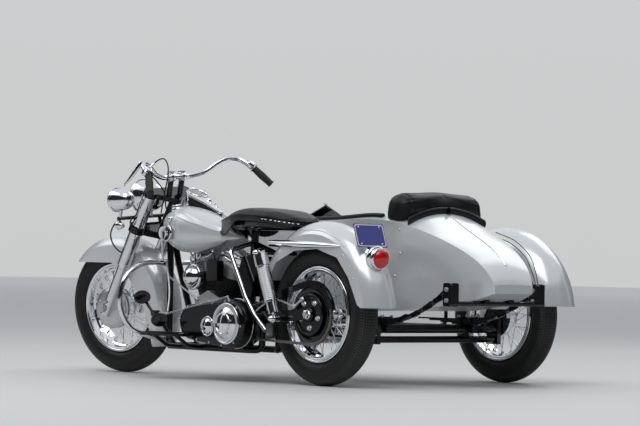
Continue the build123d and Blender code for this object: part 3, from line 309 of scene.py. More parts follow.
def swept(path, profile, up):
    """A closed profile carried along a path: its first number goes sideways and its second along the up direction."""
    p = np.asarray(path, float)
    tangent = unit(np.gradient(p, axis=0))
    side = unit(np.cross(tangent, up))
    up = np.cross(side, tangent)
    profile = np.asarray(profile, float)
    profile = np.broadcast_to(profile, (len(p), *profile.shape[-2:]))
    return capped(p[:, None] + side[:, None] * profile[..., :1] + up[:, None] * profile[..., 1:])


def eased(x, table):
    """Values at x of the smooth curve through a table of (x, value) rows."""
    rows = np.array(sorted(tuple(row) for row in table), float)
    curve = along_path(np.column_stack([rows, np.zeros(len(rows))]), 240)
    return np.interp(x, curve[:, 0], curve[:, 1])


def three_point_arc(a, b, c, count):
    """Points on the circle through three points of a plane, from the first to the last."""
    a, b, c = np.array(a, float), np.array(b, float), np.array(c, float)
    m = np.array([b - a, c - a]) * 2
    middle = np.linalg.solve(m, np.array([b @ b - a @ a, c @ c - a @ a]))
    start, half, end = (math.atan2(*(p - middle)[::-1]) for p in (a, b, c))
    turn = (end - start) % (2 * math.pi)
    if not 0 < (half - start) % (2 * math.pi) < turn:
        turn -= 2 * math.pi
    t = start + np.linspace(0, turn, count)
    return middle + np.linalg.norm(a - middle) * np.stack([np.cos(t), np.sin(t)], 1)


def wave(t):
    """A triangle wave between -1 and 1 with a period of one."""
    return 4 * np.abs((t - np.floor(t)) - 0.5) - 1


def step_up(value, low, high):
    """A smooth step: 0 below the low value, 1 above the high one, and 3 t squared less 2 t cubed between."""
    t = np.clip((value - low) / (high - low), 0, 1)
    return t * t * (3 - 2 * t)


def around(middle, axle, radius, along, count, start=0.0):
    """Points evenly round an axle at one radius, so far along it, and the outward directions there."""
    out = ring_ways(axle, start + full_turn(count))
    return middle + out * radius + unit(axle) * along, out


def puck(radius, low, high):
    """The profile of a flat round disc between two heights."""
    return [(0, low), (radius, low), (radius, high), (0, high)]


def dome(radius, rise, rings=10, below=(), lift=0.0):
    """The profile of a shallow dome: rows below it, then heights of a half ellipse over its radius."""
    t = np.linspace(0, math.pi / 2, rings)
    return np.array([*below, *np.stack([radius * np.cos(t), rise * np.sin(t) + lift], 1)])


def on_surface(node, points, way=(0, 0, -1)):
    """Each point carried along one direction until it meets a CAD node's surface."""
    mesh = NODES[node].data
    mesh.calc_loop_triangles()
    corners = values_of(mesh.loop_triangles, "vertices", np.int32)
    a, b, c = values_of(mesh.vertices, "co")[corners].transpose(1, 0, 2)
    way = np.array(way, float)
    u, v = b - a, c - a
    h = np.cross(way, v)
    det = np.einsum("ij,ij->i", u, h)
    good = np.abs(det) > 1e-14
    a, u, v, h, det = a[good], u[good], v[good], h[good], det[good]
    points = np.atleast_2d(np.asarray(points, float))
    s = points[:, None] - a
    f = np.einsum("nij,ij->ni", s, h) / det
    q = np.cross(s, u)
    g = (q @ way) / det
    t = np.einsum("nij,ij->ni", q, v) / det
    t = np.where((f >= -1e-6) & (g >= -1e-6) & (f + g <= 1 + 1e-6) & (t > 0), t, np.inf).min(1)
    known = np.isfinite(t)
    if not known.any():
        raise RuntimeError(f"nothing of {node} lies that way")
    t = np.interp(np.arange(len(t)), np.flatnonzero(known), t[known])
    return points + way * t[:, None]


# Finishes

# slot, colour, metallic, roughness, coat, pattern scale, bump strength, colour variation, roughness variation
FINISHES = {
    "silver_paint": ("silver_paint", (0.76, 0.77, 0.77), 0.35, 0.28, 1.0, 900, 0.02, 0.05, 0.04),
    "black_enamel": ("black_paint", (0.004, 0.004, 0.005), 0.0, 0.14, 0.3, 40, 0.01, 0.2, 0.05),
    "frame_enamel": ("frame_paint", (0.004, 0.004, 0.005), 0.0, 0.24, 0.2, 60, 0.03, 0.3, 0.08),
    "chrome": ("bright_chrome", (0.80, 0.81, 0.83), 1.0, 0.06, 0.0, 18, 0.004, 0.04, 0.05),
    "cast_alloy": ("cast_alloy", (0.46, 0.47, 0.48), 0.85, 0.42, 0.0, 420, 0.12, 0.15, 0.15),
    "polished_alloy": ("polished_alloy", (0.66, 0.67, 0.69), 1.0, 0.24, 0.0, 60, 0.02, 0.08, 0.12),
    "bright_steel": ("bright_steel", (0.50, 0.51, 0.53), 1.0, 0.30, 0.0, 120, 0.04, 0.12, 0.15),
    "tyre": ("tyre_rubber", (0.052, 0.052, 0.053), 0.0, 0.42, 0.0, 240, 0.06, 0.5, 0.18),
    "grip_rubber": ("grip_rubber", (0.008, 0.008, 0.009), 0.0, 0.55, 0.0, 300, 0.1, 0.3, 0.1),
    "leather": ("black_leather", (0.009, 0.009, 0.010), 0.0, 0.34, 0.0, 520, 0.22, 0.35, 0.12),
    "red_lens": (None, (0.55, 0.01, 0.015), 0.0, 0.08, 1.0, 200, 0.05, 0.1, 0.02),
    "plate_blue": ("plate_paint", (0.075, 0.085, 0.30), 0.0, 0.35, 0.4, 90, 0.03, 0.12, 0.1),
    "white_paint": ("plate_paint", (0.78, 0.78, 0.76), 0.0, 0.35, 0.4, 90, 0.03, 0.08, 0.1),
    "fin_black": ("frame_paint", (0.025, 0.025, 0.026), 0.2, 0.50, 0.0, 260, 0.1, 0.3, 0.15),
    "spoke_steel": ("bright_chrome", (0.62, 0.63, 0.65), 1.0, 0.18, 0.0, 80, 0.01, 0.1, 0.1),
    "chain_steel": ("bright_steel", (0.20, 0.19, 0.18), 0.9, 0.38, 0.0, 200, 0.08, 0.35, 0.2),
    "dial_face": ("black_paint", (0.42, 0.43, 0.43), 0.0, 0.5, 0.0, 60, 0.01, 0.1, 0.05),
    "mat_rubber": ("black_paint", (0.008, 0.008, 0.009), 0.0, 0.6, 0.0, 260, 0.1, 0.3, 0.1),
    "cable_black": ("black_paint", (0.015, 0.015, 0.016), 0.0, 0.4, 0.2, 400, 0.05, 0.2, 0.1),
}


def set_values(node, **values):
    """Set a shader node's named inputs and give the node back; an underscore in a name stands for a space."""
    for name, value in values.items():
        node.inputs[name.replace("_", " ")].default_value = value
    return node


def finish(name):
    """The named finish as a material: a base colour, roughness and fine relief that vary with two noises."""
    made = bpy.data.materials.get(name)
    if made:
        return made
    material = bpy.data.materials.new(name)
    material.use_nodes = True
    nodes, links = material.node_tree.nodes, material.node_tree.links
    shader = nodes["Principled BSDF"]
    if name == "glass":
        set_values(shader, Base_Color=(0.9, 0.93, 0.95, 1), Roughness=0.03, Transmission_Weight=0.85, IOR=1.45)
        return material

    def add(kind, **values):
        return set_values(nodes.new("ShaderNode" + kind), **values)

    def link(start, output, end, socket):
        links.new(start.outputs[output], end.inputs[socket])
    colour, metallic, roughness, coat, scale, bump, vary, rough_vary = FINISHES[name][1:]
    if name == "silver_paint":
        colour = bpy.context.scene.outfit.paint
    set_values(shader, Metallic=metallic, Coat_Weight=coat, Coat_Roughness=0.04)
    if not metallic:
        set_values(shader, Specular_IOR_Level=0.26)
    place, fine, broad = add("TexCoord"), add("TexNoise", Scale=scale, Detail=3), add("TexNoise", Scale=6, Detail=5)
    link(place, "Object", fine, "Vector")
    link(place, "Object", broad, "Vector")
    tint = add("Mix")
    tint.data_type = "RGBA"
    set_values(tint, A=(*[c * (1 - vary) for c in colour], 1), B=(*[min(1, c * (1 + vary)) for c in colour], 1))
    link(broad, "Fac", tint, "Factor")
    if name == "tyre":
        # Painted shade and highlight, from the tyre's own attribute: the near-black grooves are painted shade, and the
        # lighter tread blocks on the crown are painted highlight
        tread, level = add("Attribute"), add("Mix")
        tread.attribute_name, level.data_type = "tread", "RGBA"
        set_values(level, A=(0.002, 0.002, 0.002, 1))
        link(tread, "Fac", level, "Factor")
        link(tint, "Result", level, "B")
        tint = level
    link(tint, "Result", shader, "Base Color")
    span = add("MapRange", To_Min=max(0.02, roughness - rough_vary), To_Max=min(1.0, roughness + rough_vary))
    link(broad, "Fac", span, "Value")
    link(span, "Result", shader, "Roughness")
    relief = add("Bump", Strength=bump, Distance=0.002)
    if name == "leather":
        cells = add("TexVoronoi", Scale=scale)
        link(place, "Object", cells, "Vector")
        link(cells, "Distance", relief, "Height")
    else:
        link(fine, "Fac", relief, "Height")
    link(relief, "Normal", shader, "Normal")
    return material


# The CAD nodes that each finish covers
FINISHED_NODES = {
    "frame_enamel": "frame swing_arm sidecar_springs sidecar_shackles sidecar_chassis",
    "chrome": "rear_shocks rocker_covers clutch_covers exhaust horn carburettor kick_starter side_brace crash_bar "
              "shift_lever fender_rail tail_lamp fork_covers handlebar headlamp passing_lamps front_wheel_rim "
              "rear_wheel_rim sidecar_wheel_rim",
    "silver_paint": "rear_fender fuel_tanks dash sidecar_body sidecar_cowl sidecar_fender front_fender "
                    "front_brake_plate",
    "cast_alloy": "crankcase cylinder_heads gearbox",
    "fin_black": "cylinders",
    "black_enamel": "primary_cover chain_guard coil_box oil_tank footboards rocker_pedal fork_yokes",
    "chain_steel": "chain",
    "leather": "saddle sidecar_seat backrest_roll",
    "plate_blue": "number_plate",
    "polished_alloy": "fork_sliders",
    "grip_rubber": "grips",
    "tyre": "front_tyre rear_tyre sidecar_tyre",
}
CAD_FINISH = {node: name for name, nodes in FINISHED_NODES.items() for node in nodes.split()}


class OutfitSizes(bpy.types.PropertyGroup):
    """Sizes and colours that a user would change."""
    tyre_radius: bpy.props.FloatProperty(name="Tyre radius", description="Outer radius of the three tyres",
                                         default=0.328, unit="LENGTH")
    tyre_half_width: bpy.props.FloatProperty(name="Tyre half width", description="Half the tyre's widest part",
                                             default=0.062, unit="LENGTH")
    rim_radius: bpy.props.FloatProperty(name="Rim radius", description="Outer radius of the rim flange",
                                        default=0.221, unit="LENGTH")
    spokes: bpy.props.IntProperty(name="Spokes", description="Wire spokes in each wheel", default=40)
    paint: bpy.props.FloatVectorProperty(name="Paint", description="Colour of the tanks, fenders and sidecar",
                                         subtype="COLOR", default=FINISHES["silver_paint"][1])
    key_light: bpy.props.FloatProperty(name="Key light", description="Power of the large soft lamp", default=210.0,
                                       unit="POWER")
    sky: bpy.props.FloatProperty(name="Sky", description="Strength of the pale surroundings", default=0.8)


class OUTFIT_OT_finishes(bpy.types.Operator):
    """Give every CAD node its finish, and the paint the colour that the panel holds"""
    bl_idname = "outfit.finishes"
    bl_label = "Finishes"

    def execute(self, context):
        for node, obj in NODES.items():
            obj.data.materials.clear()
            obj.data.materials.append(finish(CAD_FINISH[node]))
        return {"FINISHED"}


# The tyre's tread, and where tyre and rim meet
TREAD_DEPTH, TREAD_KNOBS, TREAD_STEPS = 0.0068, 150, 600
SEAT_RADIUS, SEAT_HALF = 0.2035, 0.0425
NIPPLE_RADIUS = 0.1885


class OUTFIT_OT_tyres(bpy.types.Operator):
    """Build the three treaded tyres: the CAD profile turned round the axle, with zigzag grooves cut into its crown"""
    bl_idname = "outfit.tyres"
    bl_label = "Tyres"

    def execute(self, context):
        sizes = context.scene.outfit
        r, w, rim = sizes.tyre_radius, sizes.tyre_half_width, sizes.rim_radius
        shoulder = (r - 0.026, w - 0.009)
        side = three_point_arc((rim + 0.002, SEAT_HALF), ((r + rim) / 2 - 0.006, w), shoulder, 15)
        crown = three_point_arc(shoulder, (r, 0), (shoulder[0], -shoulder[1]), 65)
        inner = [(SEAT_RADIUS, -SEAT_HALF), (SEAT_RADIUS, SEAT_HALF)]
        profile = np.vstack([side, crown[1:-1], side[::-1] * (1, -1), inner])
        turns = np.linspace(0, 1, TREAD_STEPS, endpoint=False)[:, None]
        high, across = profile[None, :, 0], profile[None, :, 1]
        out = np.abs(across)
        on_crown = step_up(high, r - 0.034, r - 0.024)
        ribs = np.abs(wave(across / 0.0200 + 0.25))
        groove = step_up(ribs + 0.24 * wave(turns * TREAD_KNOBS), 0.52, 0.74) * (out < 0.041)
        bars = step_up(wave(turns * TREAD_KNOBS + 0.25), -0.1, 0.3) * step_up(out, 0.040, 0.042)
        cut = TREAD_DEPTH * np.maximum(groove, bars) * on_crown
        flank = step_up(r - high, 0.040, 0.046) * step_up(out, 0.044, 0.048)
        rings = 0.0012 * np.maximum(0, wave(high / 0.012)) * flank
        radius = (high - cut)[..., None]
        place = (across * (1 - 0.35 * cut / r) - np.sign(across) * rings)[..., None]
        # Painted shade and highlight for the tyre's attribute: 0 in the grooves for painted shade, 1 on the crown's
        # blocks for painted highlight, 0.26 on the sidewalls
        shade = (1 - cut / TREAD_DEPTH) * (0.26 + 0.74 * on_crown)
        faces = grid_faces(TREAD_STEPS, len(profile), True, True)
        for name, middle, axle in WHEELS:
            ways = ring_ways(axle, turns[:, 0] * 2 * math.pi)[:, None]
            obj = make_mesh(f"{name}_tread", [(middle + ways * radius + unit(axle) * place, faces)], "tyre",
                            f"{name}_wheel")
            # The painted shade and highlight go into the tread attribute that the tyre finish reads
            light = obj.data.attributes.new("tread", "FLOAT", "POINT")
            light.data.foreach_set("value", shade.astype(np.float32).ravel())
            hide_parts(f"{name}_tyre")
        return {"FINISHED"}


class OUTFIT_OT_wheel_details(bpy.types.Operator):
    """Fit spoke nipples, rim beads, hub bolts, axle nuts and the brake plates' bolts and arms"""
    bl_idname = "outfit.wheel_details"
    bl_label = "Wheel details"

    def execute(self, context):
        nipple = stack_of_rings([(0, 0), (0.0036, 0), (0.0036, 0.009), (0.0026, 0.011), (0, 0.011)], 8)
        bead = np.array([(0.2040, 0.0470), (0.2042, 0.0500), (0.2062, 0.0512), (0.2085, 0.0500), (0.2098, 0.0484),
                         (0.2112, 0.0500), (0.2150, 0.0532), (0.2195, 0.0528), (0.2225, 0.0500), (0.2235, 0.0470)])
        spokes = context.scene.outfit.spokes
        for name, middle, axle in WHEELS:
            bolts, _ = around(middle, axle, 0.036, -0.0425, 8)
            shapes = []
            for side, start in ((1, 0), (-1, math.pi / spokes * 2)):
                at, out = around(middle, axle, NIPPLE_RADIUS, side * 0.009, spokes // 2, start)
                shapes.append(repeated(nipple, frames(at, -out)))
            shapes.append(bolts_at(bolts, -np.array(axle, float), 0.010, 0.006))
            make_mesh(f"{name}_wheel_fasteners", shapes, "spoke_steel", f"{name}_wheel", smooth=False)
            beads = [spun(bead * (1, side), 128, middle, axle) for side in (1, -1)]
            make_mesh(f"{name}_rim_beads", beads, "chrome", f"{name}_wheel")
        # Rear brake plate, on the swing arm
        plate = REAR + (0, 0.096, 0)
        ribs = [spun([(0.094, 0.0), (0.098, 0.006), (0.090, 0.010), (0.084, 0.006)], 96, plate),
                spun([(0.030, 0.0), (0.034, 0.012), (0.022, 0.016), (0.018, 0.0)], 48, plate)]
        make_mesh("rear_plate_ribs", ribs, "black_enamel")
        at, _ = around(plate, LEFT, 0.062, 0.0, 5, 0.9)
        nuts = [bolts_at(at, LEFT, 0.018, 0.012)]
        nuts += [bolts_at(REAR + (0, s * 0.111, 0), (0, s, 0), 0.034, 0.016) for s in (1, -1)]
        nuts.append(bolts_at(REAR + [(0.085, 0.118, 0.035), (0.03, 0.118, 0.07)], LEFT, 0.016, 0.010))
        make_mesh("rear_axle_nuts", nuts, "chrome", smooth=False)
        arm = REAR + [(0.03, 0.112, 0.07), (0.055, 0.116, 0.055), (0.085, 0.116, 0.035)]
        rod = REAR + [(0.085, 0.118, 0.035), (0.24, 0.121, 0.06), (0.40, 0.124, -0.02)]
        make_mesh("rear_brake_arm", [pipe(arm, 0.006, 12, 16), pipe(rod, 0.004, 10, 24)], "bright_steel")
        # Black face of the rear sprocket, inside the chain
        disc = [(0.040, -0.002), (0.1290, -0.002), (0.1300, 0.0), (0.1290, 0.0018), (0.112, 0.0018), (0.108, 0.0005),
                (0.040, 0.0005)]
        make_mesh("sprocket_face", [spun(disc, 128, REAR + (0, 0.0888, 0))], "black_enamel", "rear_wheel")
        return {"FINISHED"}


class OUTFIT_OT_lamps(bpy.types.Operator):
    """Fit lenses, reflectors and rims to the head, passing and tail lamps: domes turned round each lamp's axis"""
    bl_idname = "outfit.lamps"
    bl_label = "Lamps"

    def execute(self, context):
        forward = steered_way(FORWARD)
        lenses, rims, backs = [], [], []
        for place, r in (((1.369, 0, 0.878), 0.086), ((1.324, 0.226, 0.872), 0.059), ((1.324, -0.226, 0.872), 0.059)):
            at = steered(place)
            glass = np.vstack([dome(r * 0.90, r * 0.16), [(0, -0.002), (r * 0.9, -0.002)]])
            rim = [(r * 0.88, 0.000), (r * 0.90, 0.006), (r * 0.96, 0.007), (r * 1.02, 0.001), (r * 1.03, -0.010),
                   (r, -0.012)]
            lenses.append(spun(glass, 64, at, forward))
            rims.append(spun(rim, 96, at, forward))
            backs.append(spun(puck(r * 0.88, 0.0008, 0.0002), 64, at, forward))
        make_mesh("lamp_lenses", lenses, "glass", "fork")
        make_mesh("lamp_rims", rims, "chrome", "fork")
        make_mesh("lamp_reflectors", backs, "polished_alloy", "fork")
        # Tail lamp
        way, at = (-0.995, 0, -0.0995), bike((-0.377, 0.009, 0.589))
        body = dome(0.0425, 0.022, below=[(0, -0.002), (0.0410, -0.002), (0.0430, 0.008)], lift=0.009)
        make_mesh("tail_lens", [spun(body, 64, at, way)], "red_lens")
        ring = [spun(rows, 72, at, way) for rows in (
            [(0.0400, -0.002), (0.0430, 0.005), (0.0475, 0.005), (0.0500, -0.002), (0.0490, -0.016), (0.0420, -0.034),
             (0.038, -0.034)],
            [(0.030, -0.056), (0.046, -0.050), (0.0540, -0.036), (0.0560, -0.026), (0.0540, -0.019), (0.040, -0.016)])]
        make_mesh("tail_rings", ring, "chrome")
        return {"FINISHED"}


class OUTFIT_OT_plate(bpy.types.Operator):
    """Put the raised white border and four screws on the blank plate: a rounded loop carried along a flat path"""
    bl_idname = "outfit.plate"
    bl_label = "Plate border"

    def execute(self, context):
        t = full_turn(120)
        half = np.array([0.0835, 0.0505])
        loop = signed_power(np.stack([np.cos(t), np.sin(t)], 1), 0.16) * half
        side, up, out = np.array(LEFT), np.array((0.34, 0, 0.94)), np.array((-0.94, 0, 0.34))
        middle = bike((-0.296, 0, 0.692)) + out * 0.0016
        profile = np.array([(-0.0022, 0), (-0.0012, 0.0012), (0.0012, 0.0012), (0.0022, 0)])
        ring = loop[:, None, :] * (1 + profile[None, :, :1] / half)
        points = middle + ring[..., :1] * side + ring[..., 1:] * up + profile[None, :, 1:] * out
        make_mesh("plate_border", [(points, grid_faces(len(t), len(profile), True, False))], "white_paint")
        screws = [middle + side * y + up * z for y in (-0.062, 0.062) for z in (-0.040, 0.040)]
        make_mesh("plate_screws", [screws_at(screws, out, 0.0045, 0.003)], "chrome")
        return {"FINISHED"}


def swollen(obj, voxel, cap, held):
    """Pad a closed mesh: even voxels, twenty frames of cloth under pressure, then each point's move capped and held."""
    scene = bpy.context.scene
    remesh = obj.modifiers.new("even", "REMESH")
    remesh.mode = "VOXEL"
    remesh.voxel_size = voxel
    remesh.use_smooth_shade = True
    whole = bpy.data.meshes.new_from_object(obj.evaluated_get(bpy.context.evaluated_depsgraph_get()))
    obj.modifiers.clear()
    material = obj.data.materials[0]
    obj.data = whole
    whole.materials.clear()
    whole.materials.append(material)
    before = values_of(whole.vertices, "co")
    cloth = obj.modifiers.new("pressure", "CLOTH")
    cloth.settings.quality = 4
    cloth.settings.use_pressure = True
    cloth.settings.uniform_pressure_force = 4.0
    cloth.settings.effector_weights.gravity = 0
    for number in range(1, 21):
        scene.frame_set(number)
    after = values_of(obj.evaluated_get(bpy.context.evaluated_depsgraph_get()).to_mesh().vertices, "co")
    obj.modifiers.clear()
    scene.frame_set(1)
    move = after - before
    far = np.linalg.norm(move, axis=1, keepdims=True)
    move *= np.minimum(1, cap / np.maximum(far, 1e-9)) * step_up(before[:, 2:], *held)
    whole.vertices.foreach_set("co", (before + move).ravel())
    whole.update()


def upholstered(obj, voxel, cap, held, depth):
    """Pad a mesh above the heights in held, press in or out by a depth along its normals, and subdivide it once."""
    swollen(obj, voxel, cap, held)
    mesh = obj.data
    place = values_of(mesh.vertices, "co")
    pressed = place + values_of(mesh.vertices, "normal") * depth(place)[:, None]
    mesh.vertices.foreach_set("co", pressed.ravel())
    mesh.update()
    made = obj.modifiers.new("subdivision", "SUBSURF")
    made.levels = made.render_levels = 1


# The saddle's half width, seam height and top height at each x
SADDLE_HALF = [(0.150, 0.0), (0.154, 0.036), (0.170, 0.078), (0.205, 0.118), (0.260, 0.145), (0.340, 0.158),
               (0.450, 0.152), (0.560, 0.118), (0.650, 0.080), (0.705, 0.052), (0.725, 0.030), (0.731, 0.0)]
SADDLE_SEAM = [(0.150, 0.752), (0.205, 0.764), (0.300, 0.777), (0.450, 0.783), (0.560, 0.777), (0.650, 0.763),
               (0.731, 0.752)]
SADDLE_TOP = [(0.150, 0.752), (0.170, 0.772), (0.205, 0.788), (0.300, 0.806), (0.450, 0.816), (0.560, 0.806),
              (0.650, 0.783), (0.705, 0.767), (0.731, 0.752)]
SADDLE_ENDS = (0.150, 0.731)
SKIRT_DEPTH = [(0.14, 0.022), (0.30, 0.024), (0.44, 0.025), (0.49, 0.034), (0.54, 0.078), (0.60, 0.086), (0.66, 0.056),
               (0.70, 0.034), (0.735, 0.020)]
# The backrest roll's axis, x and z, how far out its end seams lie, and a height above every panel
ROLL_AT, ROLL_SEAM, ABOVE = (-0.018, 0.826), 0.214, 1.2


def saddle_edge(count, grow):
    """The saddle's outline in plan as a closed loop of points at its seam, and the outward directions."""
    x = closing_steps(*SADDLE_ENDS, count // 2 + 1)
    left = np.stack([x, read_table(x, SADDLE_HALF), eased(x, SADDLE_SEAM)], 1)
    loop = np.vstack([left, left[-2:0:-1] * (1, -1, 1)])
    loop = np.vstack([loop[-3:], loop, loop[:3]])
    for _ in range(6):
        loop[1:-1] = (loop[:-2] + loop[1:-1] * 2 + loop[2:]) / 4
        loop[:3], loop[-3:] = loop[-6:-3], loop[3:6]
    loop = loop[3:-3]
    way = np.roll(loop, -1, 0) - np.roll(loop, 1, 0)
    out = unit(np.stack([way[:, 1], -way[:, 0], np.zeros(len(loop))], 1))
    out *= np.sign(np.einsum("ij,ij->i", out, loop - loop.mean(0)).sum())
    return loop + out * grow, out


class OUTFIT_OT_saddle(bpy.types.Operator):
    """Build the saddle: a padded top over a flat pan, a skirt hung from its seam, welting and bright studs"""
    bl_idname = "outfit.saddle"
    bl_label = "Saddle"

    def execute(self, context):
        rows, columns = 90, 48
        x = closing_steps(*SADDLE_ENDS, rows)
        half = np.clip(read_table(x, SADDLE_HALF) - 0.003, 0, None)
        seam = eased(x, SADDLE_SEAM)
        top = np.maximum(eased(x, SADDLE_TOP) - 0.004, seam)
        a = full_turn(columns)
        rise = np.where(np.sin(a) > 0, np.abs(np.sin(a)) ** 0.85, 0)
        fall = np.where(np.sin(a) < 0, -np.abs(np.sin(a)) ** 0.7, 0)
        drop = 0.014 * np.minimum(1, half / 0.05)
        points = np.stack([np.broadcast_to(x[:, None], (rows, columns)), half[:, None] * signed_power(np.cos(a), 0.75),
                           seam[:, None] + (top - seam)[:, None] * rise + drop[:, None] * fall], -1)
        cushion = make_mesh("saddle_cushion", [closed_tube(bike(points))], "leather")

        def seams(place):
            p = place - BIKE
            share = np.abs(p[:, 1]) / np.maximum(read_table(p[:, 0], SADDLE_HALF), 0.02)
            across = 0.0022 * np.exp(-((share - 0.72) / 0.03) ** 2)
            return -across * step_up(p[:, 2], 0.765, 0.775) * step_up(p[:, 0], 0.15, 0.20)
        upholstered(cushion, 0.005, 0.007, (0.752, 0.768), seams)
        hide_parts("saddle")
        # Skirt
        loop, out = saddle_edge(240, 0.0035)
        deep = eased(loop[:, 0], SKIRT_DEPTH)[:, None]
        t = np.linspace(0, 1, 10)
        flare = (0.0015 + 0.016 * t ** 1.3) * np.clip(deep / 0.06, 0.35, 1.2)
        drape = loop[:, None] + out[:, None] * flare[..., None]
        drape[..., 2] += (0.004 - t) * deep
        skirt = make_mesh("saddle_skirt", [(bike(drape), grid_faces(len(loop), len(t), True, False))], "leather")
        thick = skirt.modifiers.new("thickness", "SOLIDIFY")
        thick.thickness, thick.offset = 0.003, 1.0
        # Welting along the seam and along the skirt's lower edge
        seam_line = np.vstack([loop, loop[:1]]) + (0, 0, 0.001)
        hem = np.vstack([drape[:, -1], drape[:1, -1]])
        make_mesh("saddle_welting", [pipe(bike(seam_line), 0.0038, 10), pipe(bike(hem), 0.0028, 8)], "leather")
        # Bright studs on the skirt, longer than they are high
        stud, faces = stack_of_rings(dome(0.0048, 0.0028, 6, [(0, -0.001)]), 12)
        at = 0.300 - 0.149 * np.cos(np.radians(np.linspace(14, 84, 9)))
        index = [np.abs((loop[:, 0][None] - at[:, None]) + 10 * (np.sign(loop[:, 1]) != s)[None]).argmin(1)
                 for s in (1, -1)]
        index = np.concatenate(index)
        places = frames(bike(drape[index, 5] + out[index] * 0.0028), out[index])
        make_mesh("saddle_studs", [repeated((stud * (1.5, 0.62, 1), faces), places)], "chrome")
        # Pan under the cushion, clear of the fender
        x = np.linspace(0.185, 0.655, 40)
        half = read_table(x, SADDLE_HALF) - 0.022
        high = eased(x, SADDLE_SEAM) - 0.010
        low = np.maximum(0.712, 0.334 + np.sqrt(np.maximum(0.428 ** 2 - x ** 2, 0)))
        low = np.maximum(np.minimum(low, high - 0.006), np.interp(x, [0.56, 0.66], [0.700, 0.742]))
        box = np.array([(-1, 0.0), (-0.96, -0.6), (-0.80, -1), (0.80, -1), (0.96, -0.6), (1, 0.0)])
        ring = np.stack([np.broadcast_to(x[:, None], (len(x), len(box))), half[:, None] * box[None, :, 0],
                         high[:, None] + (high - low)[:, None] * box[None, :, 1]], -1)
        make_mesh("saddle_pan", [capped(bike(ring))], "black_enamel")
        # Sprung post under the nose, with its collar and pivot
        post = [(0, -0.030), (0.017, -0.030), (0.021, -0.024), (0.021, 0.030), (0.016, 0.036), (0, 0.036)]
        shapes = [spun(post, 28, bike((0.545, 0.0, 0.688)), (0.16, 0, 1)),
                  spun(puck(0.010, -0.046, 0.046), 20, bike((0.556, 0.0, 0.724)))]
        make_mesh("saddle_post", shapes, "chrome")
        return {"FINISHED"}


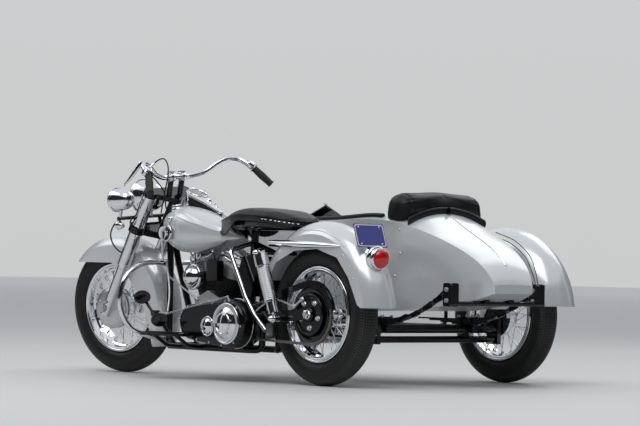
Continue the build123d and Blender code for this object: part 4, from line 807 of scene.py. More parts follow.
class OUTFIT_OT_sidecar_seats(bpy.types.Operator):
    """Pad the sidecar's backrest roll and seat with cloth under pressure, then press their seams in"""
    bl_idname = "outfit.sidecar_seats"
    bl_label = "Sidecar upholstery"

    def execute(self, context):
        middle = BIKE[1] + SIDECAR_Y
        u = np.linspace(-1, 1, 72)
        u = (np.sin(u * math.pi / 2) * 0.35 + u * 0.65)[:, None]
        size = (1 - np.abs(u) ** 6) ** (1 / 2.4)
        y = u * 0.268
        deck = np.interp(np.abs(y), [0, 0.09, 0.18, 0.264, 0.27], [0.838, 0.829, 0.803, 0.766, 0.764])
        a = full_turn(72)
        c, s = np.cos(a), np.sin(a)
        wide, tall = np.where(s < 0, 0.088 + 0.004 * np.abs(s), 0.084), np.where(s < 0, 0.150, 0.079)
        x = ROLL_AT[0] + wide * size * signed_power(c, 0.85)
        z = np.maximum(0.822 + tall * size * signed_power(s, 0.85), deck + 0.004)
        points = np.stack([x, np.broadcast_to(y, x.shape) + SIDECAR_Y, z], -1)
        roll = make_mesh("backrest_roll_padded", [closed_tube(bike(points))], "leather")

        def roll_seams(p):
            side, far, high = np.abs(p[:, 1] - middle), p[:, 0] - BIKE[0], p[:, 2]
            turn = np.arctan2(high - ROLL_AT[1], far - ROLL_AT[0])
            seam = np.exp(-((side - ROLL_SEAM) / 0.0055) ** 2) * -0.006
            gather = np.exp(-((side - ROLL_SEAM) / 0.034) ** 2) * np.sin(turn * 24) * 0.0014
            sag = 0.0030 * np.cos((p[:, 1] - middle) / ROLL_SEAM * math.pi * 1.5) * (side < ROLL_SEAM)
            return (seam + gather + sag) * step_up(high, 0.80, 0.84)
        upholstered(roll, 0.006, 0.007, (0.80, 0.84), roll_seams)
        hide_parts("backrest_roll")
        # Seat: the CAD form drawn in a little, padded, then sewn into channels
        mesh = NODES["sidecar_seat"].data.copy()
        mesh.name = "sidecar_seat_padded"
        drawn_in = values_of(mesh.vertices, "co") - values_of(mesh.vertices, "normal") * 0.004
        mesh.vertices.foreach_set("co", drawn_in.ravel())
        mesh.materials.clear()
        mesh.materials.append(finish("leather"))
        seat = bpy.data.objects.new("sidecar_seat_padded", mesh)
        context.scene.collection.objects.link(seat)

        def channels(p):
            groove = np.exp(-(wave((p[:, 1] - middle) / 0.074) - 1) ** 2 / 0.02) * -0.008
            return groove * step_up(p[:, 2], 0.42, 0.46)
        upholstered(seat, 0.009, 0.010, (0.40, 0.46), channels)
        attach(seat, "motorcycle")
        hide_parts("sidecar_seat")
        # The black band at the roll's foot, with a buckle tab in its middle
        y = np.linspace(-0.250, 0.250, 81) + middle
        foot = on_surface("sidecar_body", np.stack([np.full_like(y, BIKE[0] - 0.1090), y, np.full_like(y, ABOVE)], 1))
        band = three_point_arc((-0.004, 0.034), (0.003, 0.017), (-0.004, 0.001), 9)
        band = np.vstack([band, [(-0.006, 0.001), (-0.006, 0.032)]]) * (-1, 1)
        make_mesh("roll_band", [swept(foot, band, UP)], "leather")
        tab = repeated(rounded_box((0.010, 0.016, 0.034), 6), frames([foot[40] + (-0.008, 0, 0.016)], UP))
        make_mesh("roll_tab", [tab], "black_enamel")
        # Padded edge round the cockpit, from the roll forward and back again
        a = np.linspace(0, math.pi / 2, 12)
        half, front, r = 0.252, 0.764, 0.110
        corner = np.stack([front - r + r * np.sin(a), half - r + r * np.cos(a)], 1)
        run = np.stack([np.linspace(0.065, front - r, 24, endpoint=False), np.full(24, half)], 1)
        left = np.vstack([run, corner])
        cross = np.stack([np.full(12, front), np.linspace(half - r, -half + r, 14)[1:-1]], 1)
        loop = np.vstack([left, cross, (left * (1, -1))[::-1]]) + (BIKE[0], middle)
        edge = on_surface("sidecar_body", np.column_stack([loop, np.full(len(loop), ABOVE)])) + (0, 0, 0.006)
        make_mesh("cockpit_edge", [pipe(edge, 0.0115, 14, 160)], "leather")
        # A near-black sheet under the cowl, painted shade for the cowl's shaded inside, and the cowl's bright rear edge
        u, v = np.linspace(0, 1, 16)[:, None], np.linspace(-1, 1, 41)[None]
        x = 0.7745 + (1.040 - 0.7745) * u
        wide = (0.186 + (0.074 - 0.186) * u) - 0.0055
        low, high = 0.7645 + (0.700 - 0.7645) * u, 0.853 - 0.006 + (0.744 - 0.853) * u
        points = np.stack([x + 0 * v, v * wide + SIDECAR_Y, high - (high - low) * np.abs(v)], -1)
        # The sheet's near-black colour is painted shade
        shade_sheet = make_mesh("cowl_shade_sheet", [(bike(points), grid_faces(16, 41))], "mat_rubber")
        shade_sheet.modifiers.new("thickness", "SOLIDIFY").thickness = 0.0012
        peak = [(0.7725, SIDECAR_Y + y, z) for y, z in ((0.186, 0.762), (0.004, 0.852), (0, 0.8535), (-0.004, 0.852),
                                                        (-0.186, 0.762))]
        make_mesh("cowl_edge", [pipe(bike(peak), 0.0028, 10, 60)], "silver_paint")
        return {"FINISHED"}


# x, outer y, bottom and top of the left fuel tank
TANK_ROWS = [(1.122, 0.050, 0.706, 0.744), (1.112, 0.082, 0.680, 0.775), (1.080, 0.118, 0.642, 0.804),
             (0.985, 0.150, 0.601, 0.829), (0.860, 0.152, 0.599, 0.812), (0.720, 0.120, 0.622, 0.762),
             (0.640, 0.084, 0.644, 0.722), (0.585, 0.052, 0.664, 0.694), (0.572, 0.030, 0.674, 0.684)]


class OUTFIT_OT_tanks(bpy.types.Operator):
    """Build the two fuel tanks: at each x a superellipse from the flat inner side to the bulge, with eased sizes"""
    bl_idname = "outfit.tanks"
    bl_label = "Fuel tanks"

    def execute(self, context):
        inner, rows, columns = 0.0197, 84, 96
        x = closing_steps(0.572, 1.122, rows)
        table = np.array(TANK_ROWS)
        outer, low, high = (eased(x, table[:, (0, k)])[:, None] for k in (1, 2, 3))
        x = x[:, None]
        a = np.linspace(math.pi / 2, -math.pi / 2, columns)
        y = inner + (outer - inner) * np.abs(np.cos(a)) ** 0.8
        z = (high + low) / 2 + (high - low) / 2 * signed_power(np.sin(a), 0.8)
        ridge = 0.690 + (x - 0.62) * 0.27
        y = y + 0.0016 * np.exp(-((z - ridge) / 0.005) ** 2) * step_up(x, 0.64, 0.70) * step_up(y, 0.06, 0.09)
        z = np.where((y < 0.0785) & (z < 0.6635), 0.6635, z)
        flat = np.stack([np.broadcast_to(x, y.shape), y, z], -1)
        tanks = make_mesh("fuel_tanks_skin", [capped(bike(flat * (1, s, 1))) for s in (1, -1)], "silver_paint")
        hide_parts("fuel_tanks")
        # Filler caps with a knurled edge
        t = full_turn(96)
        knurl = 0.0006 * wave(t / (2 * math.pi) * 32)
        profile = np.array([(0, 0), (0.0245, 0), (0.0250, 0.002), (0.0250, 0.010), (0.0225, 0.0128), (0.012, 0.0145),
                            (0, 0.0145)])
        radii, heights = profile[:, :1], profile[:, 1:]
        radii = radii + knurl * (radii > 0.02)
        cap = closed_tube(np.stack([np.cos(t) * radii, np.sin(t) * radii, heights + 0 * radii], -1))
        shapes = []
        for s in (1, -1):
            at, up = bike((1.026, s * 0.078, 0.8160)), np.array((0.10, s * 0.16, 1.0))
            shapes.append(spun([(0, -0.016), (0.030, -0.016), (0.031, 0.001), (0.0275, 0.004), (0, 0.004)], 64, at, up))
            shapes.append(repeated(cap, frames([at + up * 0.004], up)))
        make_mesh("tank_caps", shapes, "chrome")
        # Gate disc of the hand shift: a chrome ring round a dark face, with its hub
        at, way = bike((1.000, 0.157, 0.694)), (0.10, 1.0, 0.0)
        ring = [(0.030, -0.002), (0.042, -0.002), (0.0430, 0.003), (0.0395, 0.008), (0.034, 0.009), (0.0305, 0.005)]
        hub = dome(0.012, 0.005, 6, [(0, 0.0), (0.013, 0.0), (0.013, 0.007)], 0.007)
        make_mesh("gate_ring", [spun(ring, 80, at, way), spun(hub, 32, at, way)], "chrome")
        face = [(0, -0.002), (0.0315, -0.002), (0.0315, 0.004), (0, 0.003)]
        make_mesh("gate_face", [spun(face, 64, at, way)], "black_enamel")
        # Fuel pipes under the left tank
        routes = ([(0.905, 0.085, 0.616), (0.900, 0.082, 0.590), (0.880, 0.060, 0.560), (0.845, -0.01, 0.540)],
                  [(0.745, 0.070, 0.628), (0.742, 0.085, 0.600), (0.770, 0.088, 0.585), (0.845, 0.075, 0.575)])
        make_mesh("fuel_pipes", [pipe(bike(route), 0.0042, 10, 30) for route in routes], "chrome")
        return {"FINISHED"}


class OUTFIT_OT_dash(bpy.types.Operator):
    """Build the instrument housing: a teardrop in plan, drawn in towards its middle line, with a dial and its switch"""
    bl_idname = "outfit.dash"
    bl_label = "Dash and dial"

    def execute(self, context):
        front, r, tail, r_tail, count = 0.962, 0.0615, 0.790, 0.0145, 120
        turn = math.asin((r - r_tail) / (front - tail))
        a = np.linspace(-math.pi / 2 - turn, math.pi / 2 + turn, 74)
        b = np.linspace(math.pi / 2 + turn, 3 * math.pi / 2 - turn, 16)
        edge = np.vstack([np.stack([front + r * np.cos(a), r * np.sin(a)], 1),
                          np.stack([tail + r_tail * np.cos(b), r_tail * np.sin(b)], 1)])
        edge = evenly(edge, count, False)
        spine = np.stack([np.clip(edge[:, 0], tail, front), np.zeros(count)], 1)

        def top(x, share):
            return 0.8835 + 0.42 * (x - 0.965) - 0.10 * np.maximum(0, 0.87 - x) + 0.004 * (1 - share ** 2)

        def ring(share, bend, lift):
            """The outline drawn in to a share, lifted above the crowned top, or above the foot where bend is None."""
            place = spine + (edge - spine) * share
            x = place[:, 0]
            level = 0.800 + 0.30 * (x - 0.965) if bend is None else top(x, bend)
            return np.column_stack([place, level + lift])
        wall = [ring(0, None, 0), ring(0.985, None, 0), ring(1, None, 0.006), ring(1, 1, -0.007), ring(0.99, 1, -0.003),
                ring(0, 1, -0.003)]
        dash = make_mesh("dash_wall", [closed_tube(bike(wall))], "chrome")
        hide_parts("dash")
        plate = [ring(0, 1, -0.0025), ring(0.985, 1, -0.0025), ring(0.985, 1, 0.0005), ring(0.955, 0.95, 0.003)]
        plate += [ring(s, s, 0.003) for s in (0.8, 0.6, 0.4, 0.2, 0.0)]
        make_mesh("dash_top", [closed_tube(bike(plate))], "silver_paint")
        seam = ring(0.992, 1, -0.0008)
        make_mesh("dash_seam", [pipe(bike(np.vstack([seam, seam[:1]])), 0.0013, 8)], "mat_rubber")
        normal = unit((-0.42, 0, 1))
        middle = bike((0.966, 0, top(0.966, 0) + 0.0025))
        bezel = [(0.0455, -0.002), (0.0515, -0.002), (0.0520, 0.002), (0.0490, 0.0062), (0.0465, 0.0050),
                 (0.0455, 0.0016)]
        glass = np.vstack([dome(0.0460, 0.0025, 6, lift=0.0030), [(0, 0.0025), (0.0460, 0.0025)]])
        make_mesh("dial_face", [spun(puck(0.0465, -0.002, 0.0015), 72, middle, normal)], "dial_face")
        make_mesh("dial_bezel", [spun(bezel, 96, middle, normal)], "chrome")
        make_mesh("dial_glass", [spun(glass, 64, middle, normal)], "glass")
        # Scale marks and the pointer, flat bars that stand a little above the face
        side = np.array(LEFT, float)
        a = math.pi / 2 + np.radians(np.linspace(-130, 130, 25))[:, None]
        ways = np.cos(a) * side + np.sin(a) * np.cross(side, normal)
        places = placements(np.cross(ways, normal), ways, normal, middle + ways * 0.0375 + normal * 0.0016)
        pointer = places[8:9] @ np.array(Matrix.Translation((0, -0.020, 0.0005)))
        marks = [repeated(rounded_box((0.0016, 0.036, 0.0006), 8, 3), pointer),
                 repeated(rounded_box((0.0012, 0.006, 0.0006), 8, 3), places)]
        make_mesh("dial_marks", marks, "white_paint")
        shapes = []
        for x, y, radius, high in ((0.880, 0.0, 0.0125, 0.012), (0.850, 0.011, 0.005, 0.005),
                                   (0.850, -0.011, 0.005, 0.005), (0.818, 0.0, 0.006, 0.006)):
            knob = dome(radius, high, 6, [(0, -0.002), (radius * 1.25, -0.002), (radius * 1.25, 0.001)], 0.001)
            shapes.append(spun(knob, 32, bike((x, y, top(x, 0.2) + 0.0025)), normal))
        make_mesh("dash_knobs", shapes, "chrome")
        return {"FINISHED"}


BAR_LINE = [(1.128, 0.0, 0.972), (1.128, 0.050, 0.972), (1.126, 0.100, 0.9735), (1.098, 0.175, 0.991),
            (1.077, 0.232, 1.025), (1.056, 0.285, 1.047), (1.026, 0.335, 1.044), (0.985, 0.361, 1.018),
            (0.948, 0.376, 0.990), (0.930, 0.3934, 0.965), (0.913, 0.4097, 0.9415), (0.896, 0.426, 0.918)]


class OUTFIT_OT_handlebar(bpy.types.Operator):
    """Build the swept handlebar, its ribbed grips, clamps, control lever and cables, all turned with the fork"""
    bl_idname = "outfit.handlebar"
    bl_label = "Handlebar and controls"

    def execute(self, context):
        half = np.array(BAR_LINE)
        line = np.vstack([half[:0:-1] * (1, -1, 1), half])
        bar = make_mesh("handlebar_tube", [pipe(steered(line), 0.0127, 20, 170)], "chrome", "fork")
        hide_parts("handlebar")
        end, way = half[-1], unit(half[-1] - half[-2])
        grips, collars, ribs = [], [], []
        along = np.linspace(-0.112, 0.002, 60)
        radius = 0.0165 + 0.0010 * wave(along / 0.0062) + 0.0022 * np.exp(-((along + 0.055) / 0.03) ** 2)
        rings = np.vstack([[(0, -0.1125)], [(0.022, -0.1125), (0.022, -0.1095)], np.stack([radius, along], 1)[2:],
                           [(0.0195, 0.0025), (0.0185, 0.0065), (0.010, 0.0085), (0, 0.0085)]])
        for s in (1, -1):
            at, toward = steered(end * (1, s, 1)), steered_way(way * (1, s, 1))
            grips.append(spun(rings, 36, at, toward))
            collars.append(spun([(0.0128, -0.150), (0.0185, -0.150), (0.0195, -0.146), (0.0195, -0.122),
                                 (0.0185, -0.118), (0.0128, -0.118)], 40, at, toward))
            for back in (-0.142, -0.126):
                screws = at + toward * back + steered_way((0.55, 0, 0.8)) * 0.0190
                ribs.append(screws_at([screws], steered_way((0.55, 0, 0.8)), 0.004, 0.003))
        grip = make_mesh("grip_sleeves", grips, "grip_rubber", "fork")
        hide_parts("grips")
        # Clamps over the risers
        for s in (1, -1):
            at = steered((1.128, s * 0.038, 0.972))
            collars.append(spun([(0.0215, -0.0145), (0.0225, -0.012), (0.0225, 0.012), (0.0215, 0.0145),
                                 (0.0125, 0.0145), (0.0125, -0.0145)], 36, at, steered_way(LEFT)))
            bolts = [steered((1.128 + x, s * 0.038 + y, 0.9945)) for x in (-0.011, 0.011) for y in (-0.007, 0.007)]
            ribs.append(bolts_at(bolts, UP, 0.010, 0.007))
        make_mesh("bar_collars", collars, "chrome", "fork")
        make_mesh("bar_screws", ribs, "bright_steel", "fork", smooth=False)
        # Left lever: its perch on the bar, and a blade that widens and thins towards its tip
        perch = steered((0.962, 0.386, 1.010))
        shape = rounded_box((0.040, 0.030, 0.022), 4)
        make_mesh("lever_perch", [repeated(shape, frames([perch], steered_way((0.3, 0.75, 0.5)), 0.4))], "chrome",
                  "fork")
        blade = along_path(bike([(0.930, 0.372, 1.030), (0.908, 0.396, 1.020), (0.920, 0.414, 0.985),
                                 (0.950, 0.427, 0.945), (0.985, 0.432, 0.915)]), 40)
        t = np.linspace(0, 1, 40)
        wide = 0.0075 + 0.0035 * np.sin(t * math.pi) - 0.002 * t
        thin = 0.0042 - 0.0012 * t
        a = full_turn(14)
        oval = np.stack([np.cos(a)[None] * thin[:, None], np.sin(a)[None] * wide[:, None]], -1)
        knob = spun(np.vstack([[(0, -0.006)], dome(0.0065, 0.0065, 6)]), 20, blade[-1], (0.6, 0.2, -0.6))
        make_mesh("control_lever", [swept(blade, oval, UP), knob], "chrome", "fork")
        # Cables from the lever and the grips, looping up and back down to the head
        routes = [[(0.940, 0.380, 1.028), (0.925, 0.335, 1.063), (0.945, 0.270, 1.068), (0.995, 0.195, 1.035),
                   (1.060, 0.130, 0.980), (1.120, 0.095, 0.900), (1.165, 0.080, 0.800)],
                  [(0.985, 0.355, 1.010), (1.030, 0.300, 1.005), (1.080, 0.190, 0.960), (1.120, 0.100, 0.900),
                   (1.150, 0.060, 0.820)]]
        make_mesh("control_cables", [pipe(steered(r), 0.0034, 10, 70) for r in routes], "cable_black", "fork")
        make_mesh("cable_ends", [pipe(steered(along_path(r, 60)[:5]), 0.0050, 10) for r in routes], "chrome", "fork")
        return {"FINISHED"}


# The clutch's middle as x and z, the front axle's x and height with the fork straight, and the links of the chain
CLUTCH, WHEELBASE, AXLE_HIGH, CHAIN_LINKS = (0.483, 0.272), 1.524, 0.328, 98
# How far left each leaf spring lies of the bike's middle plane, so less than zero
SPRING_SIDES = (-0.377, -0.933)


def belt_line(first, second, grow, y, count):
    """Evenly spaced points round two circles joined like a belt; each circle is (x, z, radius), grown by one amount."""
    (x0, z0, r0), (x1, z1, r1) = first, second
    far = math.hypot(x1 - x0, z1 - z0)
    lean, part = math.atan2(z1 - z0, x1 - x0), math.acos((r0 - r1) / far)
    a = np.linspace(lean + part, lean + 2 * math.pi - part, 90)
    b = np.linspace(lean - part, lean + part, 90)
    line = np.vstack([np.stack([x0 + (r0 + grow) * np.cos(a), z0 + (r0 + grow) * np.sin(a)], 1),
                      np.stack([x1 + (r1 + grow) * np.cos(b), z1 + (r1 + grow) * np.sin(b)], 1)])
    line = evenly(np.vstack([line, line[:1]]), count, False)
    return np.column_stack([line[:, 0], np.full(count, y), line[:, 1]])


class OUTFIT_OT_drive_details(bpy.types.Operator):
    """Add the cover's rings and screws, pedals, rods, mats, shock sleeves, hoops and chain: turned or swept profiles"""
    bl_idname = "outfit.drive_details"
    bl_label = "Drive details"

    def execute(self, context):
        left = np.array(LEFT, float)
        big, small = (*CLUTCH, 0.116), (0.765, 0.272, 0.084)

        # Covers and rings on the primary cover
        def ring(radius, thick, high):
            inner, outer = radius - thick, radius + thick
            return [(inner, -0.001), (inner, high * 0.6), (radius - thick * 0.5, high), (radius + thick * 0.5, high),
                    (outer, high * 0.6), (outer, -0.001)]
        shapes = [spun(ring(*sizes), steps, bike(at), left) for sizes, steps,
                  at in (((0.0925, 0.0055, 0.007), 96, (0.483, 0.197, 0.272)),
                         ((0.0440, 0.0040, 0.006), 64, (0.621, 0.197, 0.256)),
                         ((0.0500, 0.0030, 0.004), 72, (0.483, 0.219, 0.272)),
                         ((0.0540, 0.0090, 0.006), 80, (0.858, 0.1065, 0.485)))]
        seam = belt_line(big, small, 0.0012, 0.128, 220)
        shapes.append(pipe(bike(np.vstack([seam, seam[:1]])), 0.0016, 8))
        make_mesh("cover_rings", shapes, "chrome")
        screws = bike(belt_line(big, small, -0.010, 0.1962, 12))
        turn = np.radians(np.arange(0, 360, 72) + 20)
        hub = bike(np.stack([CLUTCH[0] + 0.058 * np.cos(turn), np.full(5, 0.2185), CLUTCH[1] + 0.058 * np.sin(turn)],
                            1))
        make_mesh("cover_screws", [screws_at(screws, left, 0.0052, 0.0035), screws_at(hub, left, 0.0040, 0.003)],
                  "bright_steel")
        # Pedal pads, tilted towards the rider, and the ribbed footboard mats
        pad = [(0, -0.004), (0.037, -0.004), (0.0405, -0.001), (0.0405, 0.003), (0.037, 0.0055), (0.030, 0.005),
               (0.029, 0.0035), (0.012, 0.0035), (0.011, 0.005), (0, 0.005)]
        pads = [spun(pad, 56, bike(p), (-0.58, 0.50, 0.64)) for p in ((1.062, 0.252, 0.382), (0.922, 0.252, 0.276))]
        board, rib = rounded_box((0.300, 0.092, 0.004), 10), rounded_box((0.290, 0.0036, 0.003), 6, 4)
        for s in (1, -1):
            pads.append(repeated(board, frames(bike((0.849, s * 0.272, 0.2185)), UP)))
            ribs = bike([(0.849, s * 0.272 + y, 0.2208) for y in np.linspace(-0.038, 0.038, 9)])
            pads.append(repeated(rib, placements(FORWARD, LEFT, UP, ribs)))
        make_mesh("pedal_pads", pads, "mat_rubber")
        # Rods of the foot pedal, with a spring over the cover, and the wires of the coil and the horn
        t = np.linspace(0, 1, 200)
        start, end = np.array((0.924, 0.203, 0.306)), np.array((0.469, 0.203, 0.397))
        turns = t * 2 * math.pi * 34
        coil = start + (end - start) * t[:, None] + 0.0042 * np.stack([0 * t, np.cos(turns), np.sin(turns)], 1)
        rods = [([(1.130, 0.060, 0.497), (0.760, 0.150, 0.377)], 0.0045, 12, 12),
                ([(1.072, 0.100, 0.556), (0.980, 0.150, 0.412), (0.924, 0.203, 0.306)], 0.0045, 12, 16),
                ([(1.000, 0.206, 0.306), (0.920, 0.203, 0.306)], 0.0065, 12, 6),
                ([(0.469, 0.206, 0.401), (0.467, 0.196, 0.388), (0.465, 0.186, 0.374)], 0.0060, 12, 6),
                (coil, 0.0016, 6)]
        make_mesh("pedal_rods", [pipe(bike(route), *sizes) for route, *sizes in rods], "bright_steel")
        wires = [([(0.680, 0.112, 0.560), (0.695, 0.112, 0.600), (0.760, 0.090, 0.602), (0.822, 0.060, 0.575)], 0.0036,
                  10, 40), ([(0.660, 0.112, 0.560), (0.650, 0.108, 0.590), (0.630, 0.080, 0.585),
                             (0.620, 0.050, 0.560)], 0.0036, 10, 40), ([(0.858, 0.090, 0.540), (0.870, 0.085, 0.600),
                                                                        (0.930, 0.060, 0.640)], 0.0030, 10, 30)]
        make_mesh("engine_wires", [pipe(bike(route), *sizes) for route, *sizes in wires], "cable_black")
        # Ribbed sleeves and acorn nuts of the shock absorbers
        foot, top = np.array((0.179, 0.152, 0.303)), np.array((0.300, 0.152, 0.606))
        along = np.linspace(0.088, 0.250, 162)
        ribs = np.stack([0.0306 + 0.0013 * wave(along / 0.0090), along], 1)
        ribs = np.vstack([[(0.0292, 0.088)], ribs, [(0.0292, 0.250)]])
        nut = dome(0.0115, 0.011, 8, [(0, -0.013), (0.0125, -0.013), (0.0125, 0.004)], 0.004)
        sleeves = [spun(ribs, 40, bike(foot * (1, s, 1)), top - foot) for s in (1, -1)]
        sleeves += [spun(nut, 28, bike((at + (0, 0.0265, 0)) * (1, s, 1)), (0, s, 0)) for s in (1, -1)
                    for at in (foot, top)]
        make_mesh("shock_sleeves", sleeves, "chrome")
        # Guard hoop: a round tube along a rounded D, one on each side
        hoop = np.array([(1.163, 0.030, 0.545), (1.163, 0.111, 0.551), (1.163, 0.200, 0.535), (1.163, 0.272, 0.484),
                         (1.163, 0.304, 0.414), (1.163, 0.307, 0.342), (1.153, 0.286, 0.272), (1.135, 0.244, 0.224),
                         (1.101, 0.170, 0.194), (1.079, 0.097, 0.180)])
        hoops = make_mesh("guard_hoops", [pipe(bike(hoop * (1, s, 1)), 0.013, 18, 90) for s in (1, -1)], "chrome")
        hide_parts("crash_bar")
        # Rear chain: plates and rollers, one pitch apart round both sprockets
        line = belt_line((0.0, AXLE_HIGH, 0.1375), (*CLUTCH, 0.0655), 0, 0.085, 2 * CHAIN_LINKS)
        way = unit(np.roll(line, -1, 0)[::2] - np.roll(line, 1, 0)[::2])
        places = placements(way, left, np.cross(way, left), bike(line[::2]))
        plate, links = rounded_box((0.0222, 0.0016, 0.0125), 3.0, 5), []
        for out, part in ((0.0056, places[::2]), (0.0040, places[1::2])):
            for s in (1, -1):
                moved = part.copy()
                moved[:, :3, 3] += left * out * s
                links.append(repeated(plate, moved))
        places[:, :3, 3] = bike(line[1::2])
        links.append(repeated(spun(puck(0.0042, -0.0062, 0.0062), 12, (0, 0, 0)), places))
        chain = make_mesh("chain_links", links, "chain_steel")
        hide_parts("chain")
        return {"FINISHED"}


class OUTFIT_OT_fork_details(bpy.types.Operator):
    """Add the front drum's dome, the axle nuts, two bolts by the left axle clamp, the small lamp and cable loops, all
    turned with the fork
    """
    bl_idname = "outfit.fork_details"
    bl_label = "Fork details"

    def execute(self, context):
        left = steered_way(LEFT)
        drum = dome(0.092, 0.016, 14, [(0, -0.001), (0.100, -0.001), (0.101, 0.003), (0.097, 0.006)], 0.007)
        cover = spun(drum, 96, steered((WHEELBASE, 0.091, AXLE_HIGH)), left)
        make_mesh("front_drum_cover", [cover], "cast_alloy", "fork")
        nuts = [bolts_at(steered((WHEELBASE, s * 0.150, AXLE_HIGH)), left * s, 0.030, 0.012) for s in (1, -1)]
        bolts = steered([(WHEELBASE + x, 0.1495, AXLE_HIGH + z) for x, z in ((-0.020, 0.034), (0.016, 0.036))])
        make_mesh("fork_nuts", [*nuts, bolts_at(bolts, left, 0.012, 0.008)], "bright_steel", "fork", smooth=False)
        # Small bullet lamp under the left passing lamp
        at = bike((1.292, 0.226, 0.728))
        shell = dome(0.020, 0.006, 5, [(0, -0.030), (0.006, -0.029), (0.014, -0.022), (0.020, -0.010), (0.022, 0.002),
                                       (0.0235, 0.006), (0.0215, 0.010)], 0.008)
        lamp = [spun(shell, 40, at, steered_way(FORWARD)), pipe([at, at + (0, 0, 0.046)], 0.006, 12, 6)]
        make_mesh("small_lamp", lamp, "chrome", "fork")
        loops = [[(1.310, 0.190, 0.770), (1.360, 0.205, 0.735), (1.398, 0.200, 0.685), (1.410, 0.172, 0.633),
                  (1.392, 0.140, 0.598), (1.352, 0.112, 0.590)],
                 [(1.300, 0.100, 0.800), (1.345, 0.120, 0.750), (1.350, 0.095, 0.690)]]
        make_mesh("leg_cables", [pipe(bike(p), 0.0038, 10, 60) for p in loops], "cable_black", "fork")
        return {"FINISHED"}


class OUTFIT_OT_body_details(bpy.types.Operator):
    """Add beads, screws and spring clips to the sidecar and the rear fender, from points dropped on the panels"""
    bl_idname = "outfit.body_details"
    bl_label = "Body details"

    def execute(self, context):
        t = np.linspace(0, 1, 60)
        run = np.column_stack([BIKE[0] - 0.118 - 0.389 * t, np.full(60, BIKE[1] + SIDECAR_Y), np.full(60, ABOVE)])
        bead = on_surface("sidecar_body", run)
        make_mesh("tail_bead", [pipe(bead + (0, 0, 0.0006), 0.0026, 8)], "chrome")
        # Two beads inside the sidecar fender, near-black as painted shade of the groove beside its lip, and the bead
        # over the rear wheel arch
        arc = along_path([(0.061, 0, 0.733), (-0.082, 0, 0.694), (-0.194, 0, 0.622), (-0.250, 0, 0.537),
                          (-0.276, 0, 0.467)], 60)
        shapes, hub = [], np.array((0.055, 0, AXLE_HIGH))
        for share in (1.0, 0.955):
            p = hub + (arc - hub) * share
            p[:, 1] = -0.95
            shapes.append(pipe(on_surface("sidecar_fender", bike(p), RIGHT), 0.0020, 8))
        # The beads' near-black colour is painted shade
        make_mesh("sidecar_shade_beads", shapes, "mat_rubber")
        arc = along_path([(0.244, 0.3, 0.608), (0.172, 0.3, 0.672), (0.068, 0.3, 0.711), (-0.056, 0.3, 0.710),
                          (-0.172, 0.3, 0.674), (-0.221, 0.3, 0.639)], 90)
        make_mesh("arch_bead", [pipe(on_surface("rear_fender", bike(arc), RIGHT), 0.0028, 10)], "silver_paint")
        # Screws of the fender and of the sidecar's left side
        a = on_surface("rear_fender", bike([(-0.223, 0.3, 0.599), (-0.265, 0.3, 0.550), (-0.294, 0.3, 0.492)]), RIGHT)
        b = on_surface("sidecar_body", bike([(-0.057, -0.25, 0.727), (-0.060, -0.25, 0.617), (-0.026, -0.25, 0.512),
                                             (0.300, -0.25, 0.700), (0.620, -0.25, 0.690)]), RIGHT)
        make_mesh("panel_screws", [screws_at(np.vstack([a, b]), LEFT, 0.0055, 0.0035)], "chrome")
        # Clips round both leaf springs and bolts on their shackles
        shapes = []
        for y in SPRING_SIDES:
            above = bike([(x, y, 0.60) for x in (-0.120, -0.200, -0.280, -0.350)])
            at = on_surface("sidecar_springs", above) + (0, 0, -0.006)
            shapes.append(repeated(rounded_box((0.016, 0.052, 0.024), 8), frames(at, (0.40, 0, 1))))
        make_mesh("spring_clips", shapes, "frame_enamel")
        near, far = SPRING_SIDES
        bolts = []
        for y, s in ((near, 1), (far, -1), (far, 1)):
            start = bike([(-0.435, y + s * 0.12, 0.455), (-0.435, y + s * 0.12, 0.405)])
            bolts.append(bolts_at(on_surface("sidecar_shackles", start, (0, -s, 0)), (0, s, 0), 0.017, 0.009))
        clamps = bike([(x, y + s * 0.028, 0.318) for x in (-0.004, 0.064) for y in SPRING_SIDES for s in (1, -1)])
        make_mesh("spring_bolts", [*bolts, bolts_at(clamps, UP, 0.015, 0.010)], "bright_steel", smooth=False)
        return {"FINISHED"}


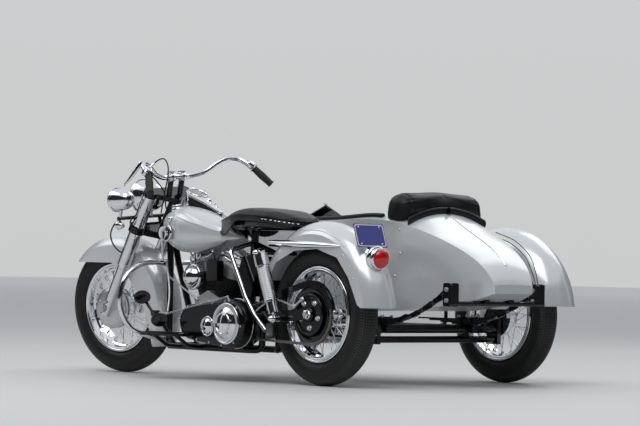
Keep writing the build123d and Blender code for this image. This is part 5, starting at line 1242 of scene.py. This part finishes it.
class OUTFIT_OT_stage(bpy.types.Operator):
    """Set the floor, the dark side cards, the lights and the camera"""
    bl_idname = "outfit.stage"
    bl_label = "Stage"

    def execute(self, context):
        scene = context.scene
        scene.view_settings.view_transform = "Standard"
        yaw, pitch, roll = math.radians(CAMERA_YAW), math.radians(CAMERA_PITCH), math.radians(CAMERA_ROLL)
        # Floor, and tall dark cards far out round the set, but not behind the object
        flat = np.array([(-1, -1, 0), (1, -1, 0), (1, 1, 0), (-1, 1, 0)]) * FLOOR_REACH
        plain(scene, "floor", flat, [(0, 1, 2, 3)], (0.60, 0.60, 0.59), 0.65)
        for name, start, end, far, high in CARDS:
            a = yaw + np.radians(np.linspace(start, end, 49))
            ring = np.stack([np.cos(a), np.sin(a)], 1) * far
            wall = np.concatenate([np.column_stack([ring, np.full(49, level)]) for level in (0.0, high)])
            plain(scene, name, wall, grid_faces(2, 49), (0.030, 0.036, 0.028), 0.9)
        world = bpy.data.worlds.new("soft sky")
        world.use_nodes = True
        tree = world.node_tree
        background = tree.nodes["Background"]
        place = tree.nodes.new("ShaderNodeTexCoord")
        split = tree.nodes.new("ShaderNodeSeparateXYZ")
        ramp = tree.nodes.new("ShaderNodeValToRGB")
        for stop, place_at, shade in zip(ramp.color_ramp.elements, (0.0, 0.7), ((0.74, 0.75, 0.75), (0.92, 0.95, 1.0))):
            stop.position, stop.color = place_at, (*shade, 1)
        tree.links.new(place.outputs["Generated"], split.inputs["Vector"])
        tree.links.new(split.outputs["Z"], ramp.inputs["Fac"])
        tree.links.new(ramp.outputs["Color"], background.inputs["Color"])
        background.inputs["Strength"].default_value = context.scene.outfit.sky
        scene.world = world
        power = context.scene.outfit.key_light
        for name, where, size, watts in [("key", (-2.5, 3.5, 6.5), 5.0, power),
                                         ("fill", (4.5, 3.5, 5.0), 4.0, power * 0.3),
                                         ("back", (1.0, -6.0, 6.0), 5.0, power * 0.5)]:
            light = bpy.data.lights.new(name, "AREA")
            light.energy = watts
            light.size = size
            lamp = bpy.data.objects.new(name, light)
            scene.collection.objects.link(lamp)
            lamp.location = where
            lamp.rotation_mode = "QUATERNION"
            lamp.rotation_quaternion = (Vector((0, 0, 0.4)) - Vector(where)).to_track_quat("-Z", "Y")
        camera = bpy.data.objects.new("camera", bpy.data.cameras.new("camera"))
        scene.collection.objects.link(camera)
        look = Vector((math.cos(yaw) * math.cos(pitch), math.sin(yaw) * math.cos(pitch), math.sin(pitch)))
        right = Vector((math.sin(yaw), -math.cos(yaw), 0))
        up = right.cross(look)
        right, up = right * math.cos(roll) + up * math.sin(roll), up * math.cos(roll) - right * math.sin(roll)
        turn = Matrix((right, up, -look)).transposed()
        camera.matrix_world = Matrix.Translation(Vector(bike(CAMERA_PLACE))) @ turn.to_4x4()
        camera.data.sensor_width = 36.0
        camera.data.lens = CAMERA_LENS
        camera.data.clip_end = 300
        scene.camera = camera
        return {"FINISHED"}


def plain(scene, name, points, faces, colour, roughness):
    """A flat-coloured stage surface, which isn't part of the object."""
    mesh = bpy.data.meshes.new(name)
    mesh.from_pydata([tuple(p) for p in points], [], [tuple(f) for f in faces])
    obj = bpy.data.objects.new(name, mesh)
    scene.collection.objects.link(obj)
    material = bpy.data.materials.new(name)
    material.use_nodes = True
    set_values(material.node_tree.nodes["Principled BSDF"], Base_Color=(*colour, 1), Roughness=roughness)
    mesh.materials.append(material)


# The stage: half the floor's side, and the cards' name, first and last angle, distance and height
FLOOR_REACH = 60.0
CARDS = (("near_card", 80, 280, 46.0, 34.0), ("left_card", 24, 74, 45.0, 26.0), ("right_card", 286, 336, 45.0, 26.0))
# The camera: its place from the ground under the rear axle, its angles in degrees and its lens in millimetres
CAMERA_PLACE = (-9.766, 8.465, 0.557)
CAMERA_YAW = -40.76
CAMERA_PITCH = 1.05
CAMERA_ROLL = 1.2
CAMERA_LENS = 158.2


OPERATORS = [OUTFIT_OT_finishes, OUTFIT_OT_tyres, OUTFIT_OT_wheel_details, OUTFIT_OT_lamps, OUTFIT_OT_plate,
             OUTFIT_OT_saddle, OUTFIT_OT_sidecar_seats, OUTFIT_OT_tanks, OUTFIT_OT_dash, OUTFIT_OT_handlebar,
             OUTFIT_OT_drive_details, OUTFIT_OT_fork_details, OUTFIT_OT_body_details, OUTFIT_OT_stage]


class OUTFIT_PT_panel(bpy.types.Panel):
    """Lists the steps that build the outfit"""
    bl_idname = "OUTFIT_PT_panel"
    bl_label = "Sidecar outfit"
    bl_space_type = "VIEW_3D"
    bl_region_type = "UI"
    bl_category = "Outfit"

    def draw(self, context):
        for name in OutfitSizes.__annotations__:
            self.layout.prop(context.scene.outfit, name)
        for operator in OPERATORS:
            self.layout.operator(operator.bl_idname)


CLASSES = [OutfitSizes, *OPERATORS, OUTFIT_PT_panel]


def register():
    """Register the classes and keep the sizes on the scene."""
    for each in CLASSES:
        bpy.utils.register_class(each)
    bpy.types.Scene.outfit = bpy.props.PointerProperty(type=OutfitSizes)


def unregister():
    """Take the classes out again."""
    del bpy.types.Scene.outfit
    for each in reversed(CLASSES):
        bpy.utils.unregister_class(each)


def main():
    """Build everything in order."""
    register()
    for operator in OPERATORS:
        group, name = operator.bl_idname.split(".")
        getattr(getattr(bpy.ops, group), name)()
    bpy.context.view_layer.update()


if __name__ == "__main__":
    main()
